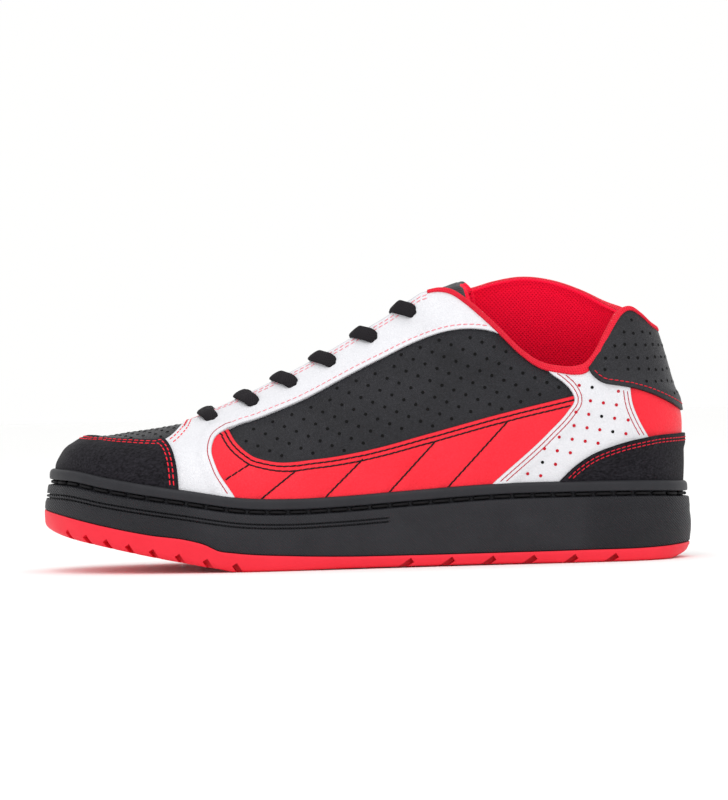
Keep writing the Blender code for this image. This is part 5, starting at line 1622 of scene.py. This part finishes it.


# a dark dished disc for each hole, its colour painted shade where the hole would be
def makeHoles(name, places, radius, finishName):
    turn = np.linspace(0.0, 2 * math.pi, 10, endpoint=False)
    places = np.array(places)
    middle, face = places[:, 0], places[:, 1]
    side = unit(np.cross(face, np.array([0.3, 0.1, 1.0])))
    other = np.cross(face, side)
    points = [middle + face * 0.03]
    for size, lift in ((0.72, 0.05), (1.0, 0.09), (1.12, -0.2)):
        for angle in turn:
            points.append(middle + (side * math.cos(angle) + other * math.sin(angle)) * radius * size + face * lift)
    points = np.stack(points, axis=1)
    count = len(turn)
    one = [[0, 1 + k, 1 + (k + 1) % count] for k in range(count)]
    for ring in range(2):
        low, high = 1 + ring * count, 1 + (ring + 1) * count
        one += [[low + (k + 1) % count, low + k, high + k, high + (k + 1) % count] for k in range(count)]
    one.append([1 + 2 * count + k for k in reversed(range(count))])
    return newPiece(name, points, repeatFaces(one, points.shape[1], len(places)), [finishName])


def latticeHoles(settings, cast, allowed, height):
    normals = gridNormals(basePoints + baseNormals * height[..., None])
    origin, first, second = (np.array(settings[key]) for key in ("origin", "first", "second"))
    steps = range(-holeShape["steps"], holeShape["steps"] + 1)
    found = []
    for a in steps:
        for b in steps:
            at = origin + a * first + b * second
            if np.abs(at).max() > holeShape["reach"]:
                continue
            hit = cast(*at)
            if hit and allowed[hit[0]]:
                i, j = hit[0]
                ahead = (i + 1) % columns
                lift = height[[i, i, ahead, ahead], [j, j + 1, j, j + 1]].mean() + 0.1
                found.append((hit[1] + hit[2] * lift, normals[i, j]))
    return found


def makeAllHoles():
    quarter, saddle, vamp = (holeShape[key] for key in ("quarter", "saddle", "vamp"))
    bare = np.zeros(shares.shape)
    openField = np.minimum.reduce([fields[n] for n in ("eyestay", "sidePanel", "saddle", "heelTab", "toeCap")])
    saddleField = np.maximum.reduce([fields["saddle"], -fields["heelTab"], -fields["heelCounter"]])
    onQuarter = ((openField > quarter["margin"]) & (topRun > quarter["below"])
                 & (sideX > quarter["from"]) & (sideX < quarter["to"]))
    onSaddle = (saddleField < -saddle["margin"]) & (topRun > saddle["below"]) & (sideZ > saddle["lowest"])
    onVamp = (vampField < -vamp["margin"]) & (fields["eyestay"] > vamp["fromEyestay"])

    def fromAbove(x, y):
        return meet((x - planCentre[0], y - planCentre[1], 200.0), (0.0, 0.0, -1.0))

    black, red = [], []
    for towards in (1.0, -1.0):
        def fromSide(x, z):
            return meetFromSide(x, z, towards)
        black += latticeHoles(quarter, fromSide, onQuarter, bare)
        # saddle holes: red leather seen below, darkened by painted shade; every sixth is black painted shade
        some = latticeHoles(saddle, fromSide, onSaddle, panelHeight("saddleLateral"))
        black += some[2::6]
        red += [hole for k, hole in enumerate(some) if k % 6 != 2]
    black += latticeHoles(vamp, fromAbove, onVamp, bare)
    black += tabHoles()
    makeHoles("blackHoles", black, quarter["radius"], "blackHole")
    makeHoles("redHoles", red, saddle["radius"], "redHole")


# level rows round the heel, every other row moved by half a step
def tabHoles():
    settings = holeShape["heelTab"]
    face = basePoints + baseNormals * panelHeight("heelTab")[..., None]
    normals = gridNormals(face)
    found = []
    run = np.arange(int(columns * 0.4), int(columns * 0.6))
    for number, z in enumerate(np.arange(settings["low"], settings["high"], settings["step"])):
        level = [int(np.argmin(np.abs(basePoints[i, :, 2] - z))) for i in run]
        line = basePoints[run, level]
        far = runAlong(line)
        for at in np.arange(settings["step"] / 2 * (number % 2), far[-1], settings["step"]):
            k = int(np.argmin(np.abs(far - at)))
            cell = (run[k], level[k])
            if fields["heelTab"][cell] < -settings["margin"] and topRun[cell] > settings["below"]:
                found.append((face[cell], normals[cell]))
    return found


makeAllHoles()


# eyelet holes that the lace ends go down: dark discs of painted shade
def makeLaceHoles():
    settings = holeShape["lace"]
    height = panelHeight("eyestay")
    places = []
    for bar in laceShape["bars"]:
        path, ups, run = lacePath(*bar)
        for k in (settings["ring"], len(path) - 1 - settings["ring"]):
            point, normal, face, distance = surfaceTree.find_nearest(Vector(path[k]))
            i, j = divmod(face, cellRows)
            places.append((np.array(point) + baseNormals[i, j] * height[i, j], baseNormals[i, j]))
    return makeHoles("laceHoles", places, settings["radius"], "blackHole")


makeLaceHoles()

# studio: pale floor, soft sky and three large lights
studio = {
    "floorSize": 30.0,
    "skyLight": 1.0,
    "skySeen": 1.0,
    "camera": (-0.0006, -1.6, 0.0765),
    "roll": 1.4,
    "viewHeight": 0.37344,
    "sensor": 24.0,
    "lightAim": (0.0, 0.0, 0.06),
    "lights": [
        ("keyLight", (-0.4, -1.6, 1.6), 1.2, 8.0),
        ("fillLight", (1.4, -1.2, 0.9), 1.2, 1.0),
        ("topLight", (0.1, -0.5, 1.9), 1.4, 6.5),
    ],
}


def makeFloor():
    bpy.ops.object.select_all(action="DESELECT")
    bpy.ops.mesh.primitive_grid_add(x_subdivisions=20, y_subdivisions=20, size=studio["floorSize"])
    floor = bpy.context.object
    floor.name = "floor"
    material, tree, shader = newMaterial("paleFloor", 0.8)
    slow = noiseIn(tree, objectPlace(tree), 3.0, 2.0)["Fac"]
    colour = mixIn(tree, slow, (0.985, 0.985, 0.98), (0.995, 0.995, 0.99))
    tree.links.new(colour, shader.inputs["Base Color"])
    floor.data.materials.append(material)


def makeLights():
    for name, place, size, power in studio["lights"]:
        bpy.ops.object.light_add(type="AREA", location=place)
        light = bpy.context.object
        light.name = name
        light.data.shape = "DISK"
        light.data.size = size
        light.data.energy = power
        way = Vector(studio["lightAim"]) - Vector(place)
        light.rotation_euler = way.to_track_quat("-Z", "Y").to_euler()


def makeSky():
    world = bpy.context.scene.world or bpy.data.worlds.new("studioSky")
    bpy.context.scene.world = world
    world.use_nodes = True
    tree = world.node_tree
    tree.nodes.clear()
    seen = nodeIn(tree, "ShaderNodeLightPath").outputs["Is Camera Ray"]
    strength = rangeIn(tree, seen, 0.0, 1.0, studio["skyLight"], studio["skySeen"])
    sky = nodeIn(tree, "ShaderNodeBackground", {"Color": (1.0, 1.0, 0.995, 1.0), "Strength": strength})
    nodeIn(tree, "ShaderNodeOutputWorld", {"Surface": sky.outputs[0]})


def makeCamera():
    turn = (math.pi / 2, math.radians(studio["roll"]), 0.0)
    bpy.ops.object.camera_add(location=studio["camera"], rotation=turn)
    camera = bpy.context.object
    camera.name = "camera"
    camera.data.sensor_fit = "VERTICAL"
    camera.data.sensor_height = studio["sensor"]
    camera.data.lens = studio["sensor"] * -studio["camera"][1] / studio["viewHeight"]
    camera.data.clip_start = 0.05
    bpy.context.scene.camera = camera


makeFloor()
makeLights()
makeSky()
makeCamera()
bpy.context.scene.view_settings.view_transform = "Standard"
print("studio ready")
